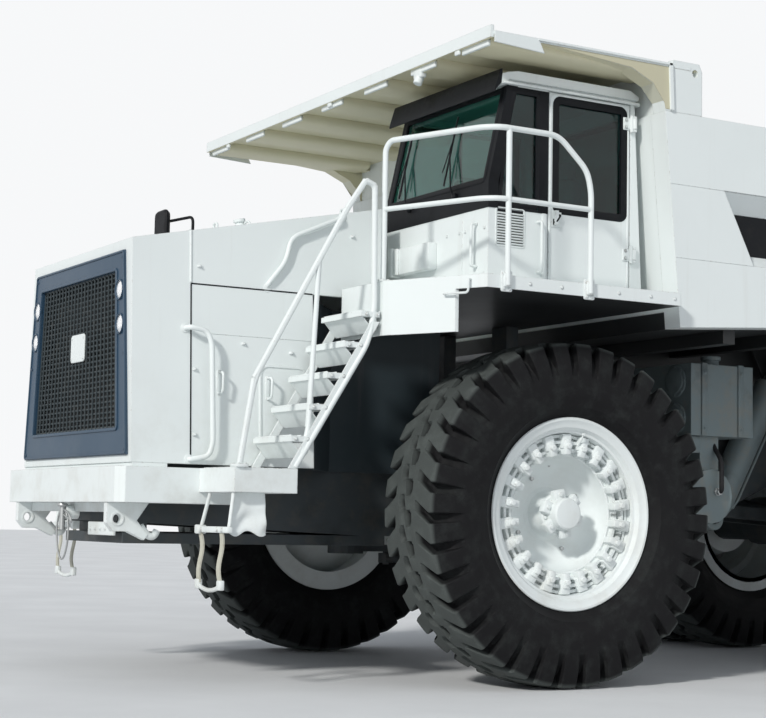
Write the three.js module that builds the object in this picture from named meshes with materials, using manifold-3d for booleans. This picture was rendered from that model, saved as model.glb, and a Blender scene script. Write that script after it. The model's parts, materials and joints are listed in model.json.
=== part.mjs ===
// Rigid mining dump truck, built as separate solids in millimetres.
// +X is the truck's left side, the front faces -Y and +Z is up.
// Inside the truck group Y is measured from the front axle and Z from the ground.
import * as THREE from 'three';
import { mergeVertices } from 'three/addons/utils/BufferGeometryUtils.js';
import { ConvexGeometry } from 'three/addons/geometries/ConvexGeometry.js';
import Module from 'manifold-3d';

const wasm = await Module();
wasm.setup();

// ---------------------------------------------------------------- driving dimensions
const overallLength = 10820;
const frontOverhang = 3245;      // bumper face ahead of the front axle
const wheelbase = 4570;
const seam = 0.3;                // gap between pieces that touch
const runningGap = 0.4;          // radial gap of a pin or journal in its bore
const swingGap = 8;              // gap round a panel that swings

// wheels
const tyreRadius = 1300;
const tyreWidth = 735;
const beadRadius = 650;
const rimWidth = 566;
const rimFlangeRadius = 724;
const rimInnerRadius = 560;
const rimFlangeWidth = 26;
const frontTrackHalf = 1905;     // centre of the front tyre from the middle of the truck
const rearInnerHalf = 1225;      // centre of the inner rear tyre
const rearOuterHalf = 2065;      // centre of the outer rear tyre
const roundSides = 20;          // facets of wheels, journals and their bores
const tubeSides = 6;

// frame rails
const railInside = 380;
const railOutside = 600;
const railTop = 2250;
const railFrontTop = 1750;
const railBottom = 1180;
const railFront = -3000;
const railPastPivot = 300;       // the rails end this far behind the body pivot

// front struts and steering
const kingpinHalf = 1300;
const strutRadius = 150;
const strutTop = 2450;
const strutAboveAxle = 325;      // the strut ends this far above the spindle
const spindleRadius = 130;
const spindleShoulder = 1690;    // the hub's inner end runs against this shoulder
const steerArmLength = 430;
const steerArmDrop = 320;        // steering arm below the spindle
const tieRodRadius = 38;

// rear axle and body hoist
const axleTubeRadius = 240;
const journalRadius = 200;
const pivotBehindAxle = 1030;    // body pivot, behind the rear axle and below the top of the rails
const pivotBelowRail = 200;
const bodyPinRadius = 70;
const hoistHalf = 790;
const hoistFootAhead = 2020;     // hoist pins, ahead of the rear axle
const hoistEyeAhead = 1220;
const hoistFootZ = 1300;
const hoistEyeBelowBody = 40;
const barrelRadius = 135;
const sleeveRadius = 105;
const rodRadius = 78;
const barrelLength = 1400;       // from the foot pin to the barrel's gland
const sleeveLength = 1460;       // from the foot pin to the sleeve's gland, closed
const footPinRadius = 45;
const footEyeRadius = 105;
const rodEyeRadius = 95;

// bumper and access platforms
const bumperHalf = 1204;
const bumperBottom = 1318;
const bumperTop = 1576;
const bumperBeamDepth = 420;
const platformHalf = 1791;
const platformFront = -2613;
const platformRear = -2120;
const platformBottom = 1402;

// hood
const hoodBottom = bumperTop + 29;
const hoodHalfBottom = 1150;
const hoodLean = 0.0612;         // the sides lean inwards by this much of their height
const hoodFront = -3130;
const hoodSeamY = -2665;         // joint between the radiator housing and the hood
const hoodRear = -1010;
const hoodFrontTop = 3240;
const hoodRise = 0.205;          // slope of the hood's top
const hoodSeamZ = 2935;          // joint between the hood and its lower side panels
const sidePanelRear = -1650;
const sheet = 40;                // thickness of a hood panel

// tanks
const tankLength = 680;
const tankOutside = 1500;
const tankBottom = 1985;
const tankTop = 2590;
const tankToHoist = 150;         // the tank ends this far ahead of the hoist's foot pin
const reservoirAhead = 440;      // middle of the round reservoir, ahead of the tank's rear end
const reservoirRadius = 230;

// wheel arch panels between the hood and the frame
const archFrontX = 1000;
const archFrontY = -1600;
const archBendY = -1250;
const archRearY = -220;
const archBottom = 1600;
const archSheet = 24;

// grille
const grilleTop = 3160;
const grilleBottom = 1660;
const grilleHalfBottom = 1100;
const grilleLean = 0.1095;
const meshTop = 3015;
const meshBottom = 1860;
const meshHalfBottom = 900;
const meshLean = 0.085;

// decks and stairs
const deckHalf = 2600;
const deckTop = 2981;
const deckEdge = 98;
const deckFront = -1067;
const deckRear = 690;
const landingFront = -1450;
const landingInside = 1165;
const stairHalf = 1790;
const deckInside = 640;
const skirtBottom = 2575;
const skirtOutside = 2360;
const treadCount = 5;
const treadDepth = 165;
const treadThickness = 40;
const stringerThickness = 16;
const stringerDepth = 60;
const railTube = 24;
const guardTop = 4040;
const guardTopFar = 3780;         // the right rail starts lower at the stairs
const guardMiddle = 3525;

// cab
const cabInside = 677;
const cabOutside = 2167;
const cabFront = -781;
const cabRearBottom = 655;
const cabRearTop = 575;
const cabWaist = 3752;           // foot of the leaning windscreen
const cabBand = 3549;            // foot of the glass band under the windscreen
const cabTop = 4528;
const cabTopFront = -609;
const cabRoofTop = 4600;
const cabWall = 60;
const windowHead = 4470;
const glassThickness = 16;
const doorFront = -238;
const doorRear = 528;
const doorBottom = 3025;
const doorTop = 4490;
const doorHingeY = 560;
const doorHingeOut = 24;
const doorWindowBottom = 3605;

// dump body
const bodyHalf = 2460;
const bodyWall = 180;
const bodyFrontBottom = 800;
const bodyFrontTop = 645;
const bodyAboveRail = 490;       // front foot of the floor above the top of the rails
const bodyTop = 4410;
const floorRise = 0.068;
const tailRise = 0.15;
const tailStart = 5400;
const shaftHeight = 1620;        // gearbox output
const shaftRadius = 75;
const shaftWindow = 140;         // half size of the cross member's window for the shaft
const floorThickness = 140;
const frontWall = 130;
const sideDropY = 5300;
const sideRearTop = 3900;
const bodyBeamInside = 400;
const bodyBeamOutside = 580;
const bodyBeamFront = 1350;
const bodyBeamToPivot = 140;     // the beam ends this far ahead of the pivot, so that it clears the rail as it tips
const padThickness = 6;          // the body rests this far above the rails
const canopyFront = -980;
const canopyHalf = 2463;
const canopyLipBottom = 4735;
const canopyTop = 4827;
const canopyPlate = 30;
const canopyRibs = 7;
const earTop = 4820;
const earHoleRadius = 30;

// materials
const paint = (name, color, roughness = 0.45, metalness = 0.1) => {
  const material = new THREE.MeshStandardMaterial({ color, roughness, metalness });
  material.name = name;
  return material;
};
const white = paint('white_paint', 0xe9efee);
const darkPaint = paint('slate_paint', 0x2d485c);
const chassisPaint = paint('chassis_paint', 0x56656b, 0.6);
const rubber = paint('tyre_rubber', 0x1b1c1d, 0.9, 0);
const glass = paint('tinted_glass', 0x1d4a47, 0.08, 0);
const trim = paint('black_trim', 0x191b1d, 0.7, 0);
const steel = paint('bright_steel', 0xb9bec2, 0.25, 0.9);

// ---------------------------------------------------------------- solid helpers
function solid(geometry) {
  const bare = geometry.clone();
  for (const name of Object.keys(bare.attributes)) {
    if (name !== 'position') bare.deleteAttribute(name);
  }
  const merged = mergeVertices(bare, 1e-3);
  return new wasm.Manifold(new wasm.Mesh({
    numProp: 3,
    vertProperties: new Float32Array(merged.attributes.position.array),
    triVerts: new Uint32Array(merged.index.array),
  }));
}

const join = (...pieces) => pieces.flat().reduce((all, piece) => all.add(piece));
const cut = (body, ...tools) => tools.flat().reduce((all, tool) => all.subtract(tool), body);

function box(x0, x1, y0, y1, z0, z1) {
  const geometry = new THREE.BoxGeometry(x1 - x0, y1 - y0, z1 - z0);
  geometry.translate((x0 + x1) / 2, (y0 + y1) / 2, (z0 + z1) / 2);
  return solid(geometry);
}

const hull = (points) => solid(new ConvexGeometry(points.map((p) => new THREE.Vector3(...p))));

// Outline of (y, z) points carried along X from x0 to x1.
function sideProfile(points, x0, x1) {
  const shape = new THREE.Shape(points.map(([y, z]) => new THREE.Vector2(y, z)));
  const geometry = new THREE.ExtrudeGeometry(shape, { depth: x1 - x0, bevelEnabled: false });
  geometry.applyMatrix4(new THREE.Matrix4().makeBasis(
    new THREE.Vector3(0, 1, 0), new THREE.Vector3(0, 0, 1), new THREE.Vector3(1, 0, 0)));
  geometry.translate(x0, 0, 0);
  return solid(geometry);
}

// Outline of (x, y) points carried up from z0 to z1.
function planProfile(points, z0, z1) {
  const shape = new THREE.Shape(points.map(([x, y]) => new THREE.Vector2(x, y)));
  const geometry = new THREE.ExtrudeGeometry(shape, { depth: z1 - z0, bevelEnabled: false });
  geometry.translate(0, 0, z0);
  return solid(geometry);
}

// Round bar between two points. A bar that runs in a bore is turned half a facet,
// so that its corners face the middles of the bore's facets.
function bar(a, b, radius, sides = tubeSides, inBore = false) {
  const start = new THREE.Vector3(...a);
  const end = new THREE.Vector3(...b);
  const along = end.clone().sub(start);
  const geometry = new THREE.CylinderGeometry(radius, radius, along.length(), sides);
  if (inBore) geometry.rotateY(Math.PI / sides);
  geometry.applyQuaternion(
    new THREE.Quaternion().setFromUnitVectors(new THREE.Vector3(0, 1, 0), along.clone().normalize()));
  geometry.translate(...start.add(end).multiplyScalar(0.5).toArray());
  return solid(geometry);
}

// Bent tube through a list of points, as straight lengths that meet at each bend.
const bentTube = (points, radius) =>
  join(points.slice(1).map((point, index) => bar(points[index], point, radius)));

// Closed (offset, radius) profile turned about the X axis through (x, y, z).
function turned(profile, x, y, z, sides = roundSides) {
  const closed = [...profile, profile[0]].map(([along, radius]) => new THREE.Vector2(radius, along));
  const geometry = new THREE.LatheGeometry(closed, sides);
  geometry.rotateZ(-Math.PI / 2);
  geometry.translate(x, y, z);
  const body = solid(geometry);
  return body.volume() > 0 ? body : solid(flipped(geometry));
}

function flipped(geometry) {
  const index = geometry.index.array;
  for (let i = 0; i < index.length; i += 3) [index[i], index[i + 1]] = [index[i + 1], index[i]];
  return geometry;
}

const mirrored = (body) => body.mirror([1, 0, 0]);
const boreFor = (pinRadius, sides) => (pinRadius + runningGap) / Math.cos(Math.PI / sides);

const truck = new THREE.Group();
function add(name, body, material) {
  const raw = body.getMesh();
  const geometry = new THREE.BufferGeometry();
  geometry.setAttribute('position', new THREE.BufferAttribute(new Float32Array(raw.vertProperties), 3));
  geometry.setIndex(new THREE.BufferAttribute(new Uint32Array(raw.triVerts), 1));
  geometry.computeVertexNormals();
  const mesh = new THREE.Mesh(geometry, material);
  mesh.name = name;
  truck.add(mesh);
}
function addPair(stem, body, material) {
  add(`${stem}_left`, body, material);
  add(`${stem}_right`, mirrored(body), material);
}

// ---------------------------------------------------------------- derived places
const axleZ = tyreRadius;
const rearAxleY = wheelbase;
const strutBottom = axleZ + strutAboveAxle;
const bodyPivotY = rearAxleY + pivotBehindAxle;
const bodyPivotZ = railTop - pivotBelowRail;
const railRear = bodyPivotY + railPastPivot;
const bodyBottom = railTop + bodyAboveRail;
const hoistFootY = rearAxleY - hoistFootAhead;
const tankRear = hoistFootY - tankToHoist;
const hoistEyeY = rearAxleY - hoistEyeAhead;
const hoistEyeZ = bodyBottom - hoistEyeBelowBody;
const crossMemberY = rearAxleY - 2270;
const gearboxFront = 900;
const gearboxRear = crossMemberY - 100;
const shaftFront = gearboxRear - 10;
const shaftEnd = [rearAxleY - 500, axleZ + 60];
const shaftZAt = (y) => shaftHeight + (shaftEnd[1] - shaftHeight) * (y - shaftFront)
  / (shaftEnd[0] - shaftFront);
const bodyRear = overallLength - frontOverhang;
const hoodTopAt = (y) => hoodFrontTop + hoodRise * (y - hoodFront);
const hoodHalfAt = (z) => hoodHalfBottom - hoodLean * (z - hoodBottom);
const grilleHalfAt = (z) => grilleHalfBottom - grilleLean * (z - grilleBottom);
const meshHalfAt = (z) => meshHalfBottom - meshLean * (z - meshBottom);
const floorBottomAt = (y) => (y < tailStart
  ? bodyBottom + floorRise * (y - bodyFrontBottom)
  : bodyBottom + floorRise * (tailStart - bodyFrontBottom) + tailRise * (y - tailStart));
const floorTopAt = (y) => floorBottomAt(y) + floorThickness;
const bodyFrontAt = (z) => bodyFrontBottom
  + (bodyFrontTop - bodyFrontBottom) * (z - bodyBottom) / (bodyTop - bodyBottom);

// ---------------------------------------------------------------- frame
function frameRail() {
  const outline = [
    [railFront, railBottom], [railFront, railFrontTop], [-700, railFrontTop], [500, railTop],
    [railRear - 150, railTop], [railRear, railTop - 180], [bodyPivotY - 40, bodyPivotZ - 210],
    [rearAxleY - 700, railTop - 430], [rearAxleY - 1420, 1500], [rearAxleY - 2120, 1200], [900, 1100], [-900, 1100],
  ];
  return sideProfile(outline, railInside, railOutside);
}

function frameSide() {
  const strutArm = box(railOutside - 20, kingpinHalf - strutRadius + 20, -150, 150, strutBottom + 120, strutTop - 60);
  const strut = bar([kingpinHalf, 0, strutBottom], [kingpinHalf, 0, strutTop], strutRadius, 16);
  const deckPosts = [-900, 520].map((y) =>
    box(railInside, railOutside, y - 60, y + 60, railFrontTop - 60, deckTop - deckEdge - seam));
  const strutTower = box(railInside, railOutside, -150, 150, railFrontTop - 60, strutTop - 60);
  const footBracket = box(railOutside - 20, hoistHalf - barrelRadius - 10, hoistFootY - 90, hoistFootY + 90,
    hoistFootZ - 90, hoistFootZ + 90);
  const footPin = bar([railOutside, hoistFootY, hoistFootZ], [hoistHalf + 80, hoistFootY, hoistFootZ], footPinRadius, 16, true);
  return join(frameRail(), strutArm, strut, strutTower, deckPosts, footBracket, footPin);
}

function buildFrame() {
  const side = frameSide();
  const windowZ = shaftZAt(crossMemberY + 100) + 24;
  const crossMembers = [
    box(-railInside - 10, railInside + 10, railFront, railFront + 160, railBottom, railFrontTop),
    box(-railInside - 10, railInside + 10, -150, 150, 1130, 1330),
    cut(
      box(-railInside - 10, railInside + 10, crossMemberY, crossMemberY + 200, 1330, railTop - 60),
      box(-160, 160, crossMemberY - 10, crossMemberY + 210, windowZ - shaftWindow, windowZ + shaftWindow),
    ),
    box(-railInside - 10, railInside + 10, bodyPivotY - 450, bodyPivotY - 250, bodyPivotZ - 120, railTop - 60),
  ];
  const bodyPin = bar([-railOutside - 160, bodyPivotY, bodyPivotZ], [railOutside + 160, bodyPivotY, bodyPivotZ],
    bodyPinRadius, 16, true);
  const guardPlate = box(-railOutside, railOutside, -2950, -700, 1020, 1100);
  const guardHangers = [-2800, -900].map((y) => box(-railOutside, railOutside, y - 40, y + 40, 1090, 1200));
  add('frame', join(side, mirrored(side), crossMembers, bodyPin, guardPlate, guardHangers), chassisPaint);
}

// ---------------------------------------------------------------- bumper, platforms, tow hooks
function buildBumper() {
  const face = -frontOverhang;
  const corner = 60;
  const beam = planProfile([
    [-bumperHalf + corner, face], [bumperHalf - corner, face], [bumperHalf, face + corner],
    [bumperHalf, platformRear], [hoodHalfBottom - 260, platformRear], [hoodHalfBottom - 260, face + bumperBeamDepth],
    [-hoodHalfBottom + 260, face + bumperBeamDepth], [-hoodHalfBottom + 260, platformRear],
    [-bumperHalf, platformRear], [-bumperHalf, face + corner],
  ], bumperBottom, bumperTop);
  const sill = box(-hoodHalfBottom, hoodHalfBottom, hoodFront + 10, face + bumperBeamDepth - 20,
    bumperTop - 10, hoodBottom - seam);
  const platforms = [1, -1].map((side) => box(
    Math.min(side * (bumperHalf - 20), side * platformHalf), Math.max(side * (bumperHalf - 20), side * platformHalf),
    platformFront, platformRear, platformBottom, bumperTop));
  const railPocket = box(-railOutside - seam, railOutside + seam, railFront - seam, platformRear + 50,
    bumperBottom - 10, hoodBottom + 10);
  add('front_bumper', cut(join(beam, sill, platforms), railPocket), white);
}

function buildTowHooks() {
  const face = -frontOverhang;
  const plate = sideProfile([
    [face + 8, bumperBottom - seam], [face + 8, 1170], [face + 60, 1110], [face + 170, 1110],
    [face + 300, 1050], [face + 330, 1090], [face + 240, 1190], [face + 330, bumperBottom - seam],
  ], 940, 1000);
  const hole = bar([900, face + 90, 1200], [1040, face + 90, 1200], 34, 16);
  const side = cut(plate, hole);
  const beam = box(-945, 945, face + 120, face + 200, bumperBottom - 70, bumperBottom - seam);
  const pin = bar([0, face + 60, 1245], [0, face + 160, 1245], 55, 12);
  add('tow_hooks', join(side, mirrored(side), beam, pin), chassisPaint);
}

// ---------------------------------------------------------------- hood
// Shell section between two stations, inset from the hood's outer faces.
function hoodBlock(y0, y1, z0, inset, topInset) {
  const points = [];
  for (const y of [y0, y1]) {
    const top = hoodTopAt(y) - topInset;
    for (const z of [z0, top]) {
      for (const side of [1, -1]) points.push([side * (hoodHalfAt(z) - inset), y, z]);
    }
  }
  return hull(points);
}

function buildHood() {
  // radiator housing with a window for the grille
  const housing = cut(
    hoodBlock(hoodFront, hoodSeamY - seam, hoodBottom, 0, 0),
    hoodBlock(hoodFront + sheet, hoodSeamY + 100, hoodBottom - 50, sheet, sheet),
    hull([
      [-grilleHalfAt(grilleTop), hoodFront - 60, grilleTop], [grilleHalfAt(grilleTop), hoodFront - 60, grilleTop],
      [-grilleHalfAt(grilleBottom), hoodFront - 60, grilleBottom], [grilleHalfAt(grilleBottom), hoodFront - 60, grilleBottom],
      [-grilleHalfAt(grilleTop), hoodFront + 80, grilleTop], [grilleHalfAt(grilleTop), hoodFront + 80, grilleTop],
      [-grilleHalfAt(grilleBottom), hoodFront + 80, grilleBottom], [grilleHalfAt(grilleBottom), hoodFront + 80, grilleBottom],
    ]),
  );
  add('radiator_housing', housing, white);

  const shell = cut(
    hoodBlock(hoodSeamY, hoodRear, hoodSeamZ, 0, 0),
    hoodBlock(hoodSeamY - 50, hoodRear - sheet, hoodSeamZ - 50, sheet, sheet),
  );
  add('hood', shell, white);

  const y0 = hoodSeamY;
  const outer = (z) => hoodHalfAt(z);
  const top = hoodSeamZ - seam;
  const panel = hull([hoodBottom, top].flatMap((z) => [y0, sidePanelRear].flatMap((y) =>
    [[outer(z), y, z], [outer(z) - sheet, y, z]])));
  addPair('hood_side_panel', panel, white);
}

function buildGrille() {
  const slab = (topZ, bottomZ, halfAt, y0, y1, shrink) => hull([topZ, bottomZ].flatMap((z) =>
    [y0, y1].flatMap((y) => [[halfAt(z) - shrink, y, z], [-halfAt(z) + shrink, y, z]])));
  const frontFace = hoodFront - 18;
  const panel = slab(grilleTop - seam, grilleBottom + seam, grilleHalfAt, frontFace, hoodFront + sheet, seam);
  const window = slab(meshTop, meshBottom, meshHalfAt, frontFace - 50, hoodFront + 80, 0);
  add('grille_panel', cut(panel, window), darkPaint);
  add('grille_mesh', slab(meshTop - seam, meshBottom + seam, meshHalfAt, frontFace + 20, frontFace + 36, seam), trim);
  add('radiator', box(-900, 900, hoodFront + 130, hoodFront + 330, railFrontTop + seam, 3100), trim);
}

function buildEngine() {
  const block = box(-railInside + 30, railInside - 30, -2350, -500, 1420, 1900);
  const banks = hull([
    [-railInside + 40, -2350, 1890], [railInside - 40, -2350, 1890], [-700, -2350, 2700], [700, -2350, 2700],
    [-railInside + 40, -1380, 1890], [railInside - 40, -1380, 1890], [-700, -1380, 2700], [700, -1380, 2700],
  ]);
  const mounts = box(-railInside + seam, railInside - seam, -1500, -1300, 1500, 1700);
  add('engine_block', join(block, banks, mounts), chassisPaint);
  const gearbox = bar([0, gearboxFront, 1700], [0, gearboxRear, shaftHeight], 300, 16);
  const mountY = (gearboxFront + gearboxRear) / 2;
  const gearboxMount = box(-railInside + seam, railInside - seam, mountY - 100, mountY + 100, 1500, 1650);
  const shaft = bar([0, shaftFront, shaftHeight], [0, ...shaftEnd], shaftRadius, 12);
  const frontShaft = bar([0, -490, 1600], [0, gearboxFront + 5, 1690], shaftRadius, 12);
  add('transmission', join(gearbox, gearboxMount, shaft, frontShaft), chassisPaint);
}

// ---------------------------------------------------------------- stairs, decks, rails
const stairFoot = [platformRear - 6, bumperTop + seam];
const stairSlope = (skirtBottom + 120 - bumperTop) / ((landingFront - 2) - platformRear);
const stairRearAt = (z) => stairFoot[0] + (z - stairFoot[1]) / stairSlope;

function buildStairs() {
  const topZ = skirtBottom + 100;
  const wide = stringerDepth * 1.15;
  const rearFoot = stairRearAt(stairFoot[1]);
  const rearTop = stairRearAt(topZ);
  const stringer = (x0) => sideProfile([
    [rearFoot, stairFoot[1]], [rearTop, topZ], [rearTop - wide, topZ], [rearFoot - wide, stairFoot[1]],
  ], x0, x0 + stringerThickness);
  const rise = (deckTop - bumperTop) / (treadCount + 1);
  const treads = Array.from({ length: treadCount }, (_, index) => {
    const z = bumperTop + rise * (index + 1);
    const rear = Math.min(stairRearAt(z - treadThickness), landingFront - 12);
    return box(landingInside + 5, stairHalf - 5, rear - treadDepth, rear - 5, z - treadThickness, z);
  });
  const outside = stairHalf - 40;
  const handrail = bentTube([
    [outside, -2560, bumperTop + 10], [outside, -2460, 2205], [outside, -1745, 3490], [outside, -1590, 3720],
    [outside, -1512, 3690], [outside, -1500, topZ - 60],
  ], railTube);
  const brace = bentTube([[outside, -2030, 1880], [outside, -1960, 3080]], railTube * 0.8);
  const base = box(outside - 60, outside + 40, -2600, -2520, bumperTop + seam, bumperTop + 20);
  const stairs = join(stringer(landingInside), stringer(stairHalf - stringerThickness), treads, handrail, brace, base);
  addPair('stairs', stairs, white);
}

// Panel that closes the wheel arch towards the engine, seated on the rail's outer face.
function buildArchPanels() {
  const x = railOutside + seam;
  const panel = planProfile([
    [x, archRearY], [x, archBendY], [archFrontX, archFrontY], [archFrontX + archSheet, archFrontY + archSheet],
    [x + archSheet, archBendY + archSheet / 2], [x + archSheet, archRearY],
  ], archBottom, deckTop - deckEdge - seam);
  addPair('wheel_arch_panel', panel, chassisPaint);
}

function deckSolid(inside) {
  const gap = 6;
  const outline = [
    [inside, hoodRear + gap], [landingInside, hoodRear + gap], [landingInside, landingFront], [stairHalf, landingFront],
    [deckHalf, deckFront], [deckHalf, deckRear], [inside, deckRear],
  ];
  const plate = planProfile(outline, deckTop - deckEdge, deckTop);
  const along = new THREE.Vector2(deckHalf - stairHalf, deckFront - landingFront).normalize();
  const t = (skirtOutside - stairHalf) / along.x;
  const corner = [stairHalf + along.x * t, landingFront + along.y * t];
  const skirt = planProfile([
    [landingInside, landingFront], [stairHalf, landingFront], corner, [corner[0], corner[1] + 30],
    [stairHalf - 6, landingFront + 30], [landingInside, landingFront + 30],
  ], skirtBottom, deckTop - deckEdge + 10);
  const brace = box(landingInside, landingInside + 30, landingFront + 20, hoodRear, skirtBottom + 100, deckTop - deckEdge + 10);
  return join(plate, skirt, brace);
}

function buildDecks() {
  add('deck_left', deckSolid(deckInside), white);
  const centre = box(-deckInside, deckInside - seam, hoodRear + 6, deckRear, deckTop - deckEdge, deckTop);
  add('deck_right', join(mirrored(deckSolid(deckInside - 5)), centre), white);
}

function guardRail(stairTop) {
  const postX = deckHalf + railTube + seam;
  const frontY = deckFront + 40;
  const stairX = stairHalf - 60;
  const stairY = landingFront + 36;
  const top = bentTube([
    [stairX, stairY, deckTop + seam], [stairX, stairY, stairTop - 60], [stairX + 40, stairY + 20, stairTop],
    [postX - 90, frontY - 60, guardTop], [postX, frontY + 40, guardTop], [postX, -480, guardTop],
    [postX, -220, guardTop - 230], [postX, -181, guardTop - 380], [postX, -181, deckTop - deckEdge + 20],
  ], railTube);
  const middle = bentTube([
    [stairX, stairY, guardMiddle], [postX - 90, frontY - 60, guardMiddle], [postX, frontY + 40, guardMiddle],
    [postX, -181, guardMiddle],
  ], railTube * 0.9);
  const post = bar([postX, -911, deckTop - deckEdge + 20], [postX, -911, guardTop], railTube);
  const feet = [-911, -181].map((y) => box(deckHalf + seam, deckHalf + 14, y - 45, y + 45, deckTop - deckEdge + 10, deckTop - 5));
  return join(top, middle, post, feet);
}

// ---------------------------------------------------------------- cab
const cabFrontAt = (z) => (z < cabWaist ? cabFront
  : cabFront + (cabTopFront - cabFront) * (z - cabWaist) / (cabTop - cabWaist));
const cabRearAt = (z) => cabRearBottom + (cabRearTop - cabRearBottom) * (z - deckTop) / (cabTop - deckTop);

function cabOutline(inset, z0, z1) {
  return [
    [cabFrontAt(z0) + inset, z0], [cabFrontAt(cabWaist) + inset, cabWaist], [cabFrontAt(z1) + inset, z1],
    [cabRearAt(z1) - inset, z1], [cabRearAt(z0) - inset, z0],
  ];
}

function buildCab() {
  const foot = deckTop + seam;
  const shell = cut(
    sideProfile(cabOutline(0, foot, cabTop), cabInside, cabOutside),
    sideProfile(cabOutline(cabWall, foot + cabWall, cabTop + 20), cabInside + cabWall, cabOutside - cabWall),
  );
  const pillar = 45;
  const leanTop = cabFrontAt(windowHead);
  const screenHole = sideProfile([
    [cabFront - 100, cabBand], [cabFront - 100, windowHead], [leanTop + 150, windowHead], [cabFront + cabWall + 20, cabBand],
  ], cabInside + pillar, cabOutside - pillar);
  const rearHole = sideProfile([
    [cabRearTop - 150, 3650], [cabRearTop - 150, 4400], [cabRearBottom + 100, 4400], [cabRearBottom + 100, 3650],
  ], cabInside + 150, cabOutside - 150);
  const quarter = [
    [cabFrontAt(cabBand) + pillar + 20, cabBand + 10], [cabFrontAt(cabWaist) + pillar + 20, cabWaist],
    [cabFrontAt(windowHead) + pillar + 20, windowHead], [doorFront - 75, windowHead], [doorFront - 75, cabBand + 10],
  ];
  const quarterHole = sideProfile(quarter, cabOutside - cabWall - 20, cabOutside + 20);
  const right = [
    [cabFrontAt(cabBand) + pillar + 20, cabBand + 10], [cabFrontAt(cabWaist) + pillar + 20, cabWaist],
    [cabFrontAt(windowHead) + pillar + 20, windowHead], [cabRearTop - 90, windowHead], [cabRearTop - 70, cabBand + 10],
  ];
  const rightHole = sideProfile(right, cabInside - 20, cabInside + cabWall + 20);
  const doorHole = box(cabOutside - cabWall - 20, cabOutside + 20, doorFront - swingGap, doorRear + swingGap,
    doorBottom - swingGap, doorTop + swingGap);
  const hingeX = cabOutside + doorHingeOut;
  const hinges = [3310, 4340].flatMap((z) => [
    box(cabOutside - 10, hingeX + 12, doorHingeY - 14, doorHingeY + 14, z - 62, z - 41),
    box(cabOutside - 10, hingeX + 12, doorHingeY - 14, doorHingeY + 14, z + 41, z + 62),
    bar([hingeX, doorHingeY, z - 60], [hingeX, doorHingeY, z + 60], 10, 12, true),
  ]);
  add('cab_shell', join(cut(shell, screenHole, rearHole, quarterHole, rightHole, doorHole), hinges), white);

  // glass sits in the middle of each opening
  const front = (z, depth) => cabFrontAt(z) + depth;
  add('windscreen', sideProfile([
    [front(cabBand + seam, 12), cabBand + seam], [front(cabWaist, 12), cabWaist], [front(windowHead - seam, 12), windowHead - seam],
    [front(windowHead - seam, 12 + glassThickness), windowHead - seam], [front(cabWaist, 12 + glassThickness), cabWaist],
    [front(cabBand + seam, 12 + glassThickness), cabBand + seam],
  ], cabInside + pillar + seam, cabOutside - pillar - seam), glass);
  const shrink = (points) => {
    const cy = points.reduce((sum, p) => sum + p[0], 0) / points.length;
    const cz = points.reduce((sum, p) => sum + p[1], 0) / points.length;
    return points.map(([y, z]) => [y + Math.sign(cy - y) * seam * 2, z + Math.sign(cz - z) * seam * 2]);
  };
  add('quarter_glass', sideProfile(shrink(quarter), cabOutside - 30, cabOutside - 30 + glassThickness), glass);
  add('right_side_glass', sideProfile(shrink(right), cabInside + 20, cabInside + 20 + glassThickness), glass);
  add('rear_glass', hull([3650 + seam, 4400 - seam].flatMap((z) => [20, 20 + glassThickness].flatMap((inset) =>
    [cabInside + 150 + seam, cabOutside - 150 - seam].map((x) => [x, cabRearAt(z) - inset, z])))), glass);

  // roof with the visor at its front
  add('cab_roof', sideProfile([
    [cabTopFront - 90, cabTop + seam - 40], [cabTopFront - 90, cabTop + 30], [cabTopFront - 40, cabRoofTop - 20],
    [cabTopFront + 60, cabRoofTop], [cabRearTop - 60, cabRoofTop], [cabRearTop + 20, cabTop + 30],
    [cabRearTop + 20, cabTop + seam], [cabTopFront - 20, cabTop + seam], [cabTopFront - 40, cabTop + seam - 40],
  ], cabInside - 20, cabOutside + 30), white);

  buildDoor(hingeX);
  buildCabInside(foot);
}

function buildDoor(hingeX) {
  const panel = box(cabOutside - cabWall, cabOutside, doorFront, doorRear, doorBottom, doorTop);
  const window = box(cabOutside - cabWall - 10, cabOutside + 10, doorFront + 70, doorRear - 40, doorWindowBottom, doorTop - 60);
  const hinges = [3310, 4340].flatMap((z) => {
    const barrel = cut(
      bar([hingeX, doorHingeY, z - 40], [hingeX, doorHingeY, z + 40], 20, 12),
      bar([hingeX, doorHingeY, z - 60], [hingeX, doorHingeY, z + 60], boreFor(10, 12), 12));
    const strap = box(cabOutside + 5, cabOutside + 14, doorRear - 60, doorHingeY - 14, z - 40, z + 40);
    const leaf = box(cabOutside - 2, cabOutside + 14, doorRear - 60, doorRear - 5, z - 40, z + 40);
    return join(barrel, strap, leaf);
  });
  const handle = box(cabOutside - 2, cabOutside + 40, doorFront + 40, doorFront + 70, 3470, 3580);
  add('cab_door', join(cut(panel, window), hinges, handle), white);
  add('door_glass', box(cabOutside - 38, cabOutside - 38 + glassThickness, doorFront + 70 + seam, doorRear - 40 - seam,
    doorWindowBottom + seam, doorTop - 60 - seam), glass);
}

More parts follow.
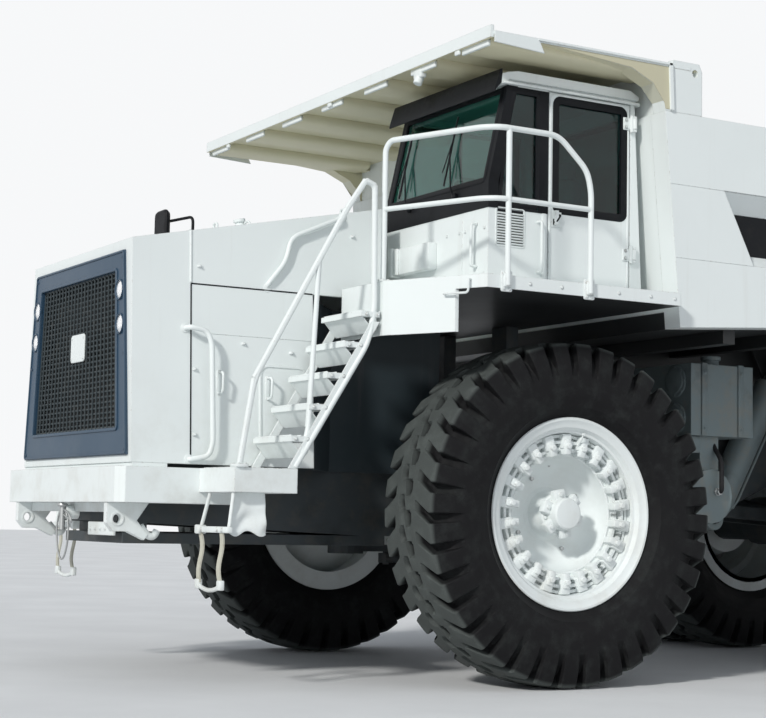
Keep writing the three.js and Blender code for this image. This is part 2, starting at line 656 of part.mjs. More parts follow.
function buildCabInside(foot) {
  const floor = foot + cabWall + seam;
  const middle = 1500;
  const seat = join(
    box(middle - 150, middle + 150, -60, 240, floor, floor + 300),
    box(middle - 270, middle + 270, -160, 330, floor + 290, floor + 420),
    hull([[middle - 260, 330, floor + 300], [middle + 260, 330, floor + 300], [middle - 260, 210, floor + 300],
      [middle + 260, 210, floor + 300], [middle - 230, 440, floor + 1080], [middle + 230, 440, floor + 1080],
      [middle - 230, 340, floor + 1080], [middle + 230, 340, floor + 1080]]),
  );
  add('driver_seat', seat, trim);
  const console = join(
    box(cabInside + cabWall + seam, cabOutside - cabWall - seam, cabFront + cabWall + seam, -560, 3350, cabBand - 20),
    box(cabInside + cabWall + seam, cabOutside - cabWall - seam, cabFront + cabWall + seam, -640, floor, 3360),
    bar([middle, -600, 3400], [middle, -400, 3760], 35, 10),
    bar([middle, -407, 3748], [middle, -390, 3778], 230, 12),
  );
  add('dashboard', console, trim);
}

// ---------------------------------------------------------------- tanks
function buildTank() {
  const front = tankRear - tankLength;
  const middle = tankRear - reservoirAhead;
  const tank = box(railOutside + 120, tankOutside, front, tankRear, tankBottom, tankTop);
  const hanger = box(railOutside + seam, railOutside + 130, front + 80, tankRear - 100, 2050, 2300);
  const bracket = box(tankOutside - 250, tankOutside - 50, middle - 100, middle + 100, 1700, tankBottom + 5);
  const reservoir = bar([900, middle, 1480], [tankOutside - 20, middle, 1480], reservoirRadius, 16);
  addPair('tank', join(tank, hanger, bracket, reservoir), chassisPaint);
}

// ---------------------------------------------------------------- axles, knuckles, wheels
function buildKnuckle() {
  const post = bar([kingpinHalf, 0, axleZ - steerArmDrop - 60], [kingpinHalf, 0, strutBottom - runningGap], 165, 16);
  const spindle = bar([kingpinHalf, 0, axleZ], [frontTrackHalf + 60, 0, axleZ], spindleRadius, roundSides, true);
  const shoulder = bar([kingpinHalf, 0, axleZ], [spindleShoulder, 0, axleZ], 180, roundSides);
  const armZ = axleZ - steerArmDrop;
  const arm = hull([
    [kingpinHalf - 90, 60, armZ - 40], [kingpinHalf + 90, 60, armZ - 40], [kingpinHalf - 60, steerArmLength + 60, armZ - 40],
    [kingpinHalf + 60, steerArmLength + 60, armZ - 40], [kingpinHalf - 90, 60, armZ + 20], [kingpinHalf + 90, 60, armZ + 20],
    [kingpinHalf - 60, steerArmLength + 60, armZ + 20], [kingpinHalf + 60, steerArmLength + 60, armZ + 20],
  ]);
  const pin = bar([kingpinHalf, steerArmLength, armZ - 160], [kingpinHalf, steerArmLength, armZ], 30, 12, true);
  addPair('knuckle', join(post, spindle, shoulder, arm, pin), chassisPaint);

  const rodZ = armZ - 100;
  const eye = (side) => cut(
    bar([side * kingpinHalf, steerArmLength, rodZ - 45], [side * kingpinHalf, steerArmLength, rodZ + 45], 70, 12),
    bar([side * kingpinHalf, steerArmLength, rodZ - 90], [side * kingpinHalf, steerArmLength, rodZ + 90], boreFor(30, 12), 12));
  const rod = bar([-kingpinHalf + 62, steerArmLength, rodZ], [kingpinHalf - 62, steerArmLength, rodZ], tieRodRadius, 12);
  add('tie_rod', join(eye(1), eye(-1), rod), chassisPaint);
}

function tyreProfile() {
  const half = tyreWidth / 2;
  const bead = rimWidth / 2 - rimFlangeWidth - seam;
  const inner = beadRadius + seam;
  const wall = [[bead, inner], [bead, rimFlangeRadius + 12], [half, tyreRadius * 0.76], [half - 12, tyreRadius * 0.92],
    [half - 60, tyreRadius * 0.985], [half - 160, tyreRadius]];
  return [...wall.map(([along, radius]) => [-along, radius]), ...wall.reverse()];
}

// Outside of one rim barrel from its inner edge to its outer edge: flange, bead seat, flange.
function barrelOutside(centre) {
  const half = rimWidth / 2;
  return [
    [centre - half, rimFlangeRadius], [centre - half + rimFlangeWidth, rimFlangeRadius],
    [centre - half + rimFlangeWidth, beadRadius], [centre + half - rimFlangeWidth, beadRadius],
    [centre + half - rimFlangeWidth, rimFlangeRadius], [centre + half, rimFlangeRadius],
  ];
}

// Front wheel: the barrel, a dished disc and a hub with a cap, in one turned profile.
function buildFrontWheel() {
  const half = rimWidth / 2;
  const bore = boreFor(spindleRadius, roundSides);
  const hubEnd = -(frontTrackHalf - spindleShoulder) + seam * 2;
  const capOut = 239;
  const profile = [
    [-half, rimInnerRadius], ...barrelOutside(0), [half, rimInnerRadius + 60], [150, rimInnerRadius], [150, 470],
    [20, 290], [60, 215], [80, 150], [capOut, 150], [capOut, 0], [70, 0], [70, bore], [hubEnd, bore], [hubEnd, 250],
    [-70, 330], [60, rimInnerRadius],
  ];
  addPair('front_rim', turned(profile, frontTrackHalf, 0, axleZ), white);
  addPair('front_tyre', turned(tyreProfile(), frontTrackHalf, 0, axleZ), rubber);
}

// Rear wheel: both barrels, the spacer between them and the geared hub, in one turned profile.
function buildRearWheel() {
  const half = rimWidth / 2;
  const bore = boreFor(journalRadius, roundSides);
  const middle = (rearInnerHalf + rearOuterHalf) / 2;
  const spread = (rearOuterHalf - rearInnerHalf) / 2;
  const profile = [
    [-spread - half, rimInnerRadius], ...barrelOutside(-spread), [-spread + half, rimInnerRadius + 60],
    [spread - half, rimInnerRadius + 60], ...barrelOutside(spread), [spread + half, rimInnerRadius], [320, rimInnerRadius],
    [320, 400], [560, 360], [640, 250], [640, 0], [470, 0], [470, bore], [-330, bore], [-330, 330], [120, 420],
    [240, rimInnerRadius],
  ];
  addPair('rear_rim', turned(profile, middle, rearAxleY, axleZ), white);
  addPair('rear_tyre_inner', turned(tyreProfile(), rearInnerHalf, rearAxleY, axleZ), rubber);
  addPair('rear_tyre_outer', turned(tyreProfile(), rearOuterHalf, rearAxleY, axleZ), rubber);
}

function buildRearAxle() {
  const y = rearAxleY;
  const middle = (rearInnerHalf + rearOuterHalf) / 2;
  const noseRear = crossMemberY + 460;
  const noseTop = shaftZAt(noseRear) - shaftRadius - 16;
  const noseBottom = noseTop - 110;
  const tubes = bar([-820, y, axleZ], [820, y, axleZ], axleTubeRadius, 16);
  const journals = bar([-middle - 460, y, axleZ], [middle + 460, y, axleZ], journalRadius, roundSides, true);
  const banjo = new THREE.SphereGeometry(430, 12, 6);
  banjo.translate(0, y, axleZ);
  const arms = [1, -1].map((side) => hull([
    [side * 420, y - 100, axleZ - 60], [side * 560, y - 100, axleZ - 60], [side * 420, y - 100, axleZ + 60],
    [side * 560, y - 100, axleZ + 60], [side * 150, noseRear - 60, noseBottom], [side * 290, noseRear - 60, noseBottom],
    [side * 150, noseRear - 60, noseTop], [side * 290, noseRear - 60, noseTop],
  ]));
  const nose = box(-300, 300, crossMemberY + 200 + seam, noseRear, noseBottom, noseTop);
  const struts = [1, -1].map((side) =>
    bar([side * 250, y + 480, axleZ + 100], [side * 250, y + 680, bodyPivotZ - 160], 85, 12));
  const strutFeet = [1, -1].map((side) => box(side * 250 - 60, side * 250 + 60, y + 200, y + 550, axleZ - 60, axleZ + 160));
  add('rear_axle', join(tubes, journals, solid(banjo), arms, nose, struts, strutFeet), chassisPaint);
}

// ---------------------------------------------------------------- dump body
function buildBody() {
  const inside = bodyHalf - bodyWall;
  const tail = bodyRear;
  const frontFoot = bodyFrontAt(bodyBottom + floorThickness);
  const floor = sideProfile([
    [bodyFrontBottom, bodyBottom], [tailStart, floorBottomAt(tailStart)], [tail, floorBottomAt(tail)],
    [tail, floorBottomAt(tail) + floorThickness], [tailStart, floorBottomAt(tailStart) + floorThickness],
    [frontFoot, floorTopAt(frontFoot)],
  ], -inside + seam, inside - seam);
  const beamFront = bodyBeamFront;
  const beamRear = bodyPivotY - bodyBeamToPivot;
  const beamFoot = railTop + padThickness;
  const beam = sideProfile([
    [beamFront, floorBottomAt(beamFront) + 20], [beamFront, beamFoot + 54], [beamFront + 60, beamFoot],
    [beamRear, beamFoot], [beamRear + 900, floorBottomAt(beamRear + 900) + 20],
    [tailStart, floorBottomAt(tailStart) + 20],
  ], bodyBeamInside, bodyBeamOutside);
  const lugX = railOutside + 20;
  const lug = cut(sideProfile([
    [bodyPivotY - 130, railTop + 60], [bodyPivotY - 130, bodyPivotZ - 60], [bodyPivotY - 70, bodyPivotZ - 125],
    [bodyPivotY + 70, bodyPivotZ - 125], [bodyPivotY + 130, bodyPivotZ - 60],
    [bodyPivotY + 420, floorBottomAt(bodyPivotY + 420) + 20], [bodyPivotY - 300, floorBottomAt(bodyPivotY - 300) + 20],
  ], lugX, lugX + 90), bar([lugX - 10, bodyPivotY, bodyPivotZ], [lugX + 100, bodyPivotY, bodyPivotZ], boreFor(bodyPinRadius, 16), 16));
  const hoistEar = (x) => sideProfile([
    [hoistEyeY - 110, hoistEyeZ - 90], [hoistEyeY + 110, hoistEyeZ - 90], [hoistEyeY + 220, floorBottomAt(hoistEyeY + 220) + 20],
    [hoistEyeY - 260, floorBottomAt(hoistEyeY - 260) + 20],
  ], x - 15, x + 15);
  const side = join(beam, lug, hoistEar(hoistHalf - 100), hoistEar(hoistHalf + 100));
  const bolsters = [1500, 2300, 4300, 5100].map((y) =>
    box(-inside + 60, inside - 60, y - 60, y + 60, floorBottomAt(y) - 110, floorBottomAt(y) + 30));
  add('body_floor', join(floor, side, mirrored(side), bolsters), white);

  const wall = sideProfile([
    [bodyFrontBottom, bodyBottom], [tailStart, floorBottomAt(tailStart)], [tail, floorBottomAt(tail)],
    [tail, floorBottomAt(tail) + floorThickness + 40], [tail - 200, sideRearTop], [sideDropY, bodyTop], [bodyFrontTop, bodyTop],
  ], inside, bodyHalf);
  const pocketDepth = bodyWall - 40;
  const pocketTop = 3850;
  const pocketBottom = 3280;
  const pockets = [[1240, 2700], [2850, 4100], [4250, 5500]].map(([y0, y1], index) => sideProfile([
    [y0 + (index === 0 ? 305 : 0), pocketBottom], [y1, pocketBottom], [y1, pocketTop], [y0, pocketTop],
  ], bodyHalf - pocketDepth, bodyHalf + 20));
  addPair('body_side', cut(wall, pockets), white);

  const front = sideProfile([
    [frontFoot, floorTopAt(frontFoot) + seam], [bodyFrontTop, bodyTop], [bodyFrontTop + frontWall, bodyTop],
    [frontFoot + frontWall, floorTopAt(frontFoot + frontWall) + seam],
  ], -inside + seam, inside - seam);
  add('body_front_wall', front, white);

  // canopy over the cab, with a lip, ribs and two side gussets
  const plateBottom = canopyTop - 40 - canopyPlate;
  const plate = box(-canopyHalf, canopyHalf, canopyFront, bodyFrontTop + 250, plateBottom, canopyTop - 40);
  const lip = box(-canopyHalf, canopyHalf, canopyFront, canopyFront + 30, canopyLipBottom, canopyTop);
  const spacing = (2 * canopyHalf - 500) / (canopyRibs - 1);
  const ribs = Array.from({ length: canopyRibs }, (_, index) => {
    const x = -canopyHalf + 250 + spacing * index;
    return box(x - 60, x + 60, canopyFront + 60, bodyFrontTop + 240, plateBottom - 60, plateBottom + 10);
  });
  const gusset = sideProfile([
    [canopyFront + 440, plateBottom + 5], [bodyFrontTop - 330, plateBottom - 60], [bodyFrontTop - 120, plateBottom - 150],
    [bodyFrontTop - 10, bodyTop + 80], [bodyFrontTop + 5, bodyTop + seam], [bodyFrontTop + 250, bodyTop + seam],
    [bodyFrontTop + 250, plateBottom + 5],
  ], bodyHalf - 150, bodyHalf);
  const liftingEar = cut(
    sideProfile([
      [bodyFrontTop + 75, bodyTop + seam], [bodyFrontTop + 365, bodyTop + seam], [bodyFrontTop + 365, earTop - 60],
      [bodyFrontTop + 335, earTop], [bodyFrontTop + 75, earTop],
    ], bodyHalf - 60, bodyHalf),
    bar([bodyHalf - 100, bodyFrontTop + 295, 4740], [bodyHalf + 40, bodyFrontTop + 295, 4740], earHoleRadius, 16));
  const riser = box(-bodyHalf + 140, bodyHalf - 140, bodyFrontTop + 20, bodyFrontTop + 110, bodyTop + seam, plateBottom + 10);
  add('canopy', join(plate, lip, ribs, gusset, mirrored(gusset), liftingEar, mirrored(liftingEar), riser), white);
}

// ---------------------------------------------------------------- hoist cylinders
function buildHoist() {
  const foot = [hoistFootY, hoistFootZ];
  const run = [hoistEyeY - hoistFootY, hoistEyeZ - hoistFootZ];
  const length = Math.hypot(...run);
  const at = (distance) => [hoistHalf, foot[0] + run[0] * distance / length, foot[1] + run[1] * distance / length];
  const footEye = cut(
    bar([hoistHalf - 55, ...foot], [hoistHalf + 55, ...foot], footEyeRadius, 16),
    bar([hoistHalf - 80, ...foot], [hoistHalf + 80, ...foot], boreFor(footPinRadius, 16), 16));
  const barrel = cut(bar(at(80), at(barrelLength), barrelRadius, 12), bar(at(230), at(barrelLength + 40), sleeveRadius + 6, 12),
    bar([hoistHalf - 80, ...foot], [hoistHalf + 80, ...foot], 70, 16));
  const gland = cut(bar(at(barrelLength - 60), at(barrelLength + seam), barrelRadius, 12),
    bar(at(barrelLength - 90), at(barrelLength + 40), boreFor(sleeveRadius, 12), 12));
  addPair('hoist_barrel', join(footEye, barrel, gland), chassisPaint);
  const sleeve = cut(bar(at(240), at(sleeveLength), sleeveRadius, 12, true), bar(at(300), at(sleeveLength + 40), rodRadius + 6, 12));
  const sleeveGland = cut(bar(at(sleeveLength - 60), at(sleeveLength + seam), sleeveRadius, 12, true),
    bar(at(sleeveLength - 90), at(sleeveLength + 40), boreFor(rodRadius, 12), 12));
  addPair('hoist_sleeve', join(sleeve, sleeveGland), steel);
  const rod = bar(at(310), at(length - 40), rodRadius, 12, true);
  const eye = bar([hoistHalf - 70, hoistEyeY, hoistEyeZ], [hoistHalf + 70, hoistEyeY, hoistEyeZ], rodEyeRadius, 16);
  addPair('hoist_rod', join(rod, eye), steel);
}

buildFrame();
buildBumper();
buildTowHooks();
buildHood();
buildGrille();
buildEngine();
buildStairs();
buildDecks();
buildArchPanels();
add('guard_rail_left', guardRail(guardTop), white);
add('guard_rail_right', mirrored(guardRail(guardTopFar)), white);
buildCab();
buildTank();
buildKnuckle();
buildFrontWheel();
buildRearAxle();
buildRearWheel();
buildBody();
buildHoist();

// the origin lies on the ground under the middle of the truck
truck.position.y = frontOverhang - overallLength / 2;
const dumpTruck = new THREE.Group();
dumpTruck.add(truck);

export default dumpTruck;
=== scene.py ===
"""Finishes and fine pieces of a rigid mining dump truck, as a Blender add-on that also runs as a script."""
import sys
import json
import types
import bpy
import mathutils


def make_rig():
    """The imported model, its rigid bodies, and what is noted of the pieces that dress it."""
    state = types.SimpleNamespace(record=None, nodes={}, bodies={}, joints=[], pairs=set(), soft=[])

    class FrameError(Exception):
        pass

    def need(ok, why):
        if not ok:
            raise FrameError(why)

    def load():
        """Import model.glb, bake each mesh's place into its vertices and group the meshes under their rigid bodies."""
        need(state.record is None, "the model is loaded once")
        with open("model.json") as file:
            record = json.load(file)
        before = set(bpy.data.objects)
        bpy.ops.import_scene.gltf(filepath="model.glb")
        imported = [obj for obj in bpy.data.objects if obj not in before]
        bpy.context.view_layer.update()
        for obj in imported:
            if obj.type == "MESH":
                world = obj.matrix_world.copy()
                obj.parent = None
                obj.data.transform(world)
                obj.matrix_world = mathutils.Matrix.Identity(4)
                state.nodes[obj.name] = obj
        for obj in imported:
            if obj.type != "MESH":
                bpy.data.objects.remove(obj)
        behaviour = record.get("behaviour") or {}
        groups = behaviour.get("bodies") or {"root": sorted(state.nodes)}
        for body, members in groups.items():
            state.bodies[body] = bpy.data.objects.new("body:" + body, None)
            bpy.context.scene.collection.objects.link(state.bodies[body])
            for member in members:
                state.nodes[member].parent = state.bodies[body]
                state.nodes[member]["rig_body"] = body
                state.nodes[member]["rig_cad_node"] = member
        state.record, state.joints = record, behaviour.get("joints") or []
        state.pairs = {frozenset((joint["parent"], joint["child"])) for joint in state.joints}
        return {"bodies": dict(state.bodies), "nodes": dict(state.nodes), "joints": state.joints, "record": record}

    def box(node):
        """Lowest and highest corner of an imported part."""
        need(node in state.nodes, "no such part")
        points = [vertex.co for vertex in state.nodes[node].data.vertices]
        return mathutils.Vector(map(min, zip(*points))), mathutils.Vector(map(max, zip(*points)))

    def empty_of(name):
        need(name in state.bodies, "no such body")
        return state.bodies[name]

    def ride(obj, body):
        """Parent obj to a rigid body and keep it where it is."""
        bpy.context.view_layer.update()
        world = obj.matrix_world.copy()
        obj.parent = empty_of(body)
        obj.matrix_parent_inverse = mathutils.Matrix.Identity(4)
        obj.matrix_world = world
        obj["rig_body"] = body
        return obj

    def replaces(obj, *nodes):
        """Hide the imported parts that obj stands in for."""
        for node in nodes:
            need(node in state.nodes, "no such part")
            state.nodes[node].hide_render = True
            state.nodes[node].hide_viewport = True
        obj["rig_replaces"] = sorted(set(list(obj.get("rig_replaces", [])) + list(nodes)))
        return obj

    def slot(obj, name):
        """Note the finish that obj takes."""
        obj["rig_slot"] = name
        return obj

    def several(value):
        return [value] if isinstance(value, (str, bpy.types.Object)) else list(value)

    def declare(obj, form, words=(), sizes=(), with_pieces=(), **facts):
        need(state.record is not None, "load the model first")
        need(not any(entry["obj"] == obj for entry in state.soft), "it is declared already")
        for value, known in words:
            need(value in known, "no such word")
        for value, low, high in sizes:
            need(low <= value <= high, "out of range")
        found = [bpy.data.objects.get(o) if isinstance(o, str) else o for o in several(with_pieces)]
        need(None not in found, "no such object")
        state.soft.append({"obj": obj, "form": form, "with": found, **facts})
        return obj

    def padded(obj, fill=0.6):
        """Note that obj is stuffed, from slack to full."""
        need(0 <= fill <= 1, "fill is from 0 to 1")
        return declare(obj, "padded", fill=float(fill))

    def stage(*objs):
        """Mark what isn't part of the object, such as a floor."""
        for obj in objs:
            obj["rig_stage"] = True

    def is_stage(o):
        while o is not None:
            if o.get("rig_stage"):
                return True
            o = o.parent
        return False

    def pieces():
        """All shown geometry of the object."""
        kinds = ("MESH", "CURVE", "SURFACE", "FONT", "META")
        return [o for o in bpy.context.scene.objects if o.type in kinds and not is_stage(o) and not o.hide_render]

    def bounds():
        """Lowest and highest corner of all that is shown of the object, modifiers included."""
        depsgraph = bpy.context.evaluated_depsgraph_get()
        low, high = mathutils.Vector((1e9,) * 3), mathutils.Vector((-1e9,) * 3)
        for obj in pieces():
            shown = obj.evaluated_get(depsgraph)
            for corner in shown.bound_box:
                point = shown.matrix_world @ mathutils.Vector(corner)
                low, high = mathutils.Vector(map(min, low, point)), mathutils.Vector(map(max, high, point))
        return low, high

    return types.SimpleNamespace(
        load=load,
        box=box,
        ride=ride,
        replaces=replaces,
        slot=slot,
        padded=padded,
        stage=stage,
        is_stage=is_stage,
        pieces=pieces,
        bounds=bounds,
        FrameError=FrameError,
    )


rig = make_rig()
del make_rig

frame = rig.load()

import json
import math

import bmesh
import bpy
import numpy as np
from mathutils import Matrix, Vector

bl_info = {"name": "Mining dump truck finishes", "version": (1, 0, 0), "blender": (4, 5, 0),
    "location": "View3D > Sidebar > Truck",
    "description": "Adds tyres, wheels, rails, lamps, cab fittings and paint to the packed truck model",
    "category": "Object"}

CAD_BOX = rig.bounds()
JOINTS = {joint["name"]: joint for joint in frame["joints"]}
FRONT_AXLE = JOINTS["front_wheel_left_spin"]["pos_m"]
REAR_AXLE = JOINTS["rear_wheels_left_spin"]["pos_m"]
AXLE_Y = FRONT_AXLE[1]
TAU = 2 * math.pi
SIDES = (("left", 1), ("right", -1))
LEFT, RIGHT, AHEAD, BEHIND, UP = (1, 0, 0), (-1, 0, 0), (0, -1, 0), (0, 1, 0), (0, 0, 1)


# ---------------------------------------------------------------- surfaces
class Shape:
    """Vertices and faces of several surfaces, gathered to become one mesh."""

    def __init__(self):
        self.points, self.loops, self.sizes, self.count = [], [], [], 0

    def faces(self, points, faces):
        """Adds a block of points (n, 3) and a block of faces (m, k) that index into them."""
        points = np.asarray(points, float).reshape(-1, 3)
        faces = np.asarray(faces, int)
        self.points.append(points)
        self.loops.append((faces + self.count).ravel())
        self.sizes.append(np.full(len(faces), faces.shape[1]))
        self.count += len(points)
        return self

    def grid(self, points, wrap_u=False, wrap_v=True, caps=True):
        """Adds a grid of points (rows u, columns v, 3). Neighbouring rows and columns make one quad each;
        wrap_u and wrap_v close the grid on itself, and caps fills the first and the last row."""
        points = np.asarray(points, float)
        rows, cols = points.shape[:2]
        u = np.arange(rows if wrap_u else rows - 1)[:, None]
        v = np.arange(cols if wrap_v else cols - 1)[None, :]
        u1, v1 = (u + 1) % rows, (v + 1) % cols
        quads = np.stack([u * cols + v, u * cols + v1, u1 * cols + v1, u1 * cols + v], -1).reshape(-1, 4)
        start = self.count
        self.faces(points, quads)
        if caps and not wrap_u:
            ring = np.arange(cols)
            for face in (ring[::-1], ring + (rows - 1) * cols):
                self.loops.append(face + start)
                self.sizes.append(np.array([cols]))
        return self

    def moved(self, matrix):
        """Turns and moves every point gathered so far by a 4 by 4 matrix."""
        matrix = np.array(matrix)
        self.points = [p @ matrix[:3, :3].T + matrix[:3, 3] for p in self.points]
        return self

    def take(self, *others, mirror=False):
        """Adds copies of other shapes, mirrored across X = 0 when asked."""
        scale = np.array([-1.0 if mirror else 1.0, 1, 1])
        for other in others:
            self.points.extend(points * scale for points in other.points)
            self.loops.extend(loops + self.count for loops in other.loops)
            self.sizes.extend(other.sizes)
            self.count += other.count
        return self


SLOT_OF = {"white paint": "white_paint", "rim paint": "white_paint", "canopy cream": "white_paint",
    "pocket cream": "white_paint", "slate paint": "slate_paint", "tank paint": "chassis_paint",
    "front rubber": "tyre_rubber", "rear rubber": "tyre_rubber", "black trim": "black_trim",
    "black mesh": "black_trim", "grip black": "black_trim", "seat vinyl": "black_trim", "hose": "black_trim",
    "strap webbing": "black_trim", "galvanised": "bright_steel", "reflector": "bright_steel",
    "polished steel": "bright_steel", "lamp lens": "tinted_glass", "red lens": "tinted_glass",
    "amber lens": "tinted_glass"}


def piece(name, shape, finish="white paint", body="chassis", sharp=35.0, slot=None):
    """Makes the object: doubled points are merged, faces are turned outwards, and edges sharper than the
    given angle in degrees stay sharp. Its slot follows from its finish unless it is given."""
    mesh = bpy.data.meshes.new(name)
    points = np.concatenate(shape.points)
    loops, sizes = np.concatenate(shape.loops), np.concatenate(shape.sizes)
    mesh.vertices.add(len(points))
    mesh.vertices.foreach_set("co", points.astype(np.float32).ravel())
    mesh.loops.add(len(loops))
    mesh.loops.foreach_set("vertex_index", loops.astype(np.int32))
    mesh.polygons.add(len(sizes))
    mesh.polygons.foreach_set("loop_start", np.concatenate([[0], np.cumsum(sizes)[:-1]]).astype(np.int32))
    mesh.update(calc_edges=True)
    work = bmesh.new()
    work.from_mesh(mesh)
    bmesh.ops.remove_doubles(work, verts=work.verts, dist=2e-5)
    bmesh.ops.dissolve_degenerate(work, edges=work.edges, dist=1e-5)
    bmesh.ops.recalc_face_normals(work, faces=work.faces)
    work.to_mesh(mesh)
    work.free()
    mesh.polygons.foreach_set("use_smooth", np.ones(len(mesh.polygons), bool))
    mesh.set_sharp_from_angle(angle=math.radians(sharp))
    mesh.materials.append(bpy.data.materials[finish])
    made = bpy.data.objects.new(name, mesh)
    bpy.context.scene.collection.objects.link(made)
    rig.ride(made, body)
    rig.slot(made, slot or SLOT_OF[finish])
    return made


def basis(normal):
    """Two unit vectors square to a normal and to each other, and the unit normal."""
    n = np.asarray(normal, float)
    n = n / np.linalg.norm(n)
    helper = np.array([0, 0, 1.0]) if abs(n[2]) < 0.9 else np.array([1.0, 0, 0])
    a = np.cross(helper, n)
    a /= np.linalg.norm(a)
    return a, np.cross(n, a), n


def block(low, high, radius=0.006, steps=2):
    """Box with rounded edges. A unit direction runs over a sphere in longitude and latitude; the point is
    the corner of the inner box on that side plus the radius along the direction."""
    low, high = np.minimum(low, high).astype(float), np.maximum(low, high).astype(float)
    half, middle = (high - low) / 2, (high + low) / 2
    radius = min(radius, half.min() * 0.98)
    quarter = np.linspace(0, math.pi / 2, steps + 1)
    turn = np.concatenate([quarter + k * math.pi / 2 for k in range(4)])
    corner = np.repeat([[1, 1], [-1, 1], [-1, -1], [1, -1]], steps + 1, 0)
    rise = np.concatenate([quarter - math.pi / 2, quarter])
    up = np.repeat([-1, 1], steps + 1)
    out = np.empty((len(rise), len(turn), 3))
    out[..., 0] = corner[:, 0] * (half[0] - radius) + radius * np.cos(rise)[:, None] * np.cos(turn)
    out[..., 1] = corner[:, 1] * (half[1] - radius) + radius * np.cos(rise)[:, None] * np.sin(turn)
    out[..., 2] = (up * (half[2] - radius) + radius * np.sin(rise))[:, None]
    return Shape().grid(out + middle)


def rounded_path(points, bend, steps=5):
    """Points of a path whose corners are arcs: each corner's arc is a quadratic curve between the points
    that lie one bend length before and after it."""
    points = [np.asarray(p, float) for p in points]
    out = [points[0]]
    for before, corner, after in zip(points, points[1:], points[2:]):
        a, b = before - corner, after - corner
        cut = min(bend, np.linalg.norm(a) * 0.45, np.linalg.norm(b) * 0.45)
        a, b = corner + a / np.linalg.norm(a) * cut, corner + b / np.linalg.norm(b) * cut
        t = np.linspace(0, 1, steps + 1)[:, None]
        out.extend((1 - t) ** 2 * a + 2 * t * (1 - t) * corner + t ** 2 * b)
    out.append(points[-1])
    return np.array(out)


def carried(path, section, closed=False):
    """Grid of a flat section (m, 2) carried along a path (n, 3). At each point the section stands square to
    the path, and its first axis is turned as little as possible from the one before."""
    path = np.asarray(path, float)
    if closed:
        along = np.roll(path, -1, 0) - np.roll(path, 1, 0)
    else:
        along = np.gradient(path, axis=0)
    along /= np.linalg.norm(along, axis=1)[:, None]
    first = basis(along[0])[0]
    rows = []
    for point, t in zip(path, along):
        first = first - t * first.dot(t)
        first /= np.linalg.norm(first)
        rows.append(point + section[:, :1] * first + section[:, 1:] * np.cross(t, first))
    return np.array(rows)


def circle(radius, sides):
    """Points of a circle, as (m, 2)."""
    turn = np.arange(sides) * TAU / sides
    return np.stack([np.cos(turn), np.sin(turn)], 1) * radius


def tube(points, radius, bend=0.08, sides=14, closed=False):
    """Round tube: a circle carried along a path with rounded corners."""
    path = rounded_path(points, bend) if len(points) > 2 and not closed else np.array(points, float)
    return Shape().grid(carried(path, circle(radius, sides), closed), wrap_u=closed)


def lathe(profile, centre=(0, 0, 0), axis=(1, 0, 0), sides=64, start=0.0, closed=False):
    """Profile of (along, radius) pairs turned about an axis through centre."""
    profile = np.asarray(profile, float)
    a, b, n = basis(axis)
    turn = start + np.arange(sides) * TAU / sides
    around = np.cos(turn)[:, None] * a + np.sin(turn)[:, None] * b
    out = np.asarray(centre, float) + profile[:, None, :1] * n + profile[:, None, 1:] * around[None]
    return Shape().grid(out, wrap_u=closed)


def plate(outline, origin, normal, along, thickness, bevel=0.003):
    """Flat plate of a closed outline (m, 2) drawn on two axes at origin: the first is along, the second is
    square to it and to the normal. Four rings, of which the outer two are drawn in by the bevel."""
    outline = np.asarray(outline, float)
    n = np.asarray(normal, float) / np.linalg.norm(normal)
    a = np.asarray(along, float)
    a = a - n * a.dot(n)
    a /= np.linalg.norm(a)
    b = np.cross(n, a)
    ahead, behind = np.roll(outline, -1, 0) - outline, outline - np.roll(outline, 1, 0)
    unit = lambda e: e / np.maximum(np.linalg.norm(e, axis=1), 1e-9)[:, None]
    side = unit(ahead) + unit(behind)
    side = unit(side)[:, ::-1] * [1, -1]
    area = np.sum(outline[:, 0] * np.roll(outline[:, 1], -1) - outline[:, 1] * np.roll(outline[:, 0], -1))
    inner = outline - side * bevel * (1 if area > 0 else -1)
    rings = [(inner, 0), (outline, bevel), (outline, thickness - bevel), (inner, thickness)]
    grid = np.array([np.asarray(origin, float) + ring[:, :1] * a + ring[:, 1:] * b + n * depth
        for ring, depth in rings])
    return Shape().grid(grid)


def rounded_rectangle(width, height, radius, steps=4, centre=(0, 0)):
    """Outline of a rectangle with round corners, as (m, 2)."""
    quarter = np.linspace(0, math.pi / 2, steps + 1)
    turn = np.concatenate([quarter + k * math.pi / 2 for k in range(4)])
    corner = np.repeat([[1, 1], [-1, 1], [-1, -1], [1, -1]], steps + 1, 0)
    half = np.array([width / 2 - radius, height / 2 - radius])
    return corner * half + radius * np.stack([np.cos(turn), np.sin(turn)], 1) + np.array(centre)


def bolts(places, normal, radius=0.014, height=0.011, washer=True):
    """Hexagon heads on washers at a list of places on one face."""
    made = Shape()
    for place in places:
        place = np.asarray(place, float)
        if washer:
            made.take(lathe([(-0.002, 0), (-0.002, radius * 1.5), (0.003, radius * 1.5), (0.003, 0)], place,
                normal, 14))
        made.take(lathe([(0.001, 0), (0.001, radius), (height * 0.8, radius), (height, radius * 0.86),
            (height, 0)], place, normal, 6, start=0.3))
    return made


def joined(*shapes):
    """One shape from several."""
    return Shape().take(*shapes)


def both(shape):
    """A shape and its mirror image across X = 0."""
    return Shape().take(shape).take(shape, mirror=True)


def truck(x, y, z):
    """Place given from the front axle's line, as a point of the frame."""
    return np.array([x, y + AXLE_Y, z])


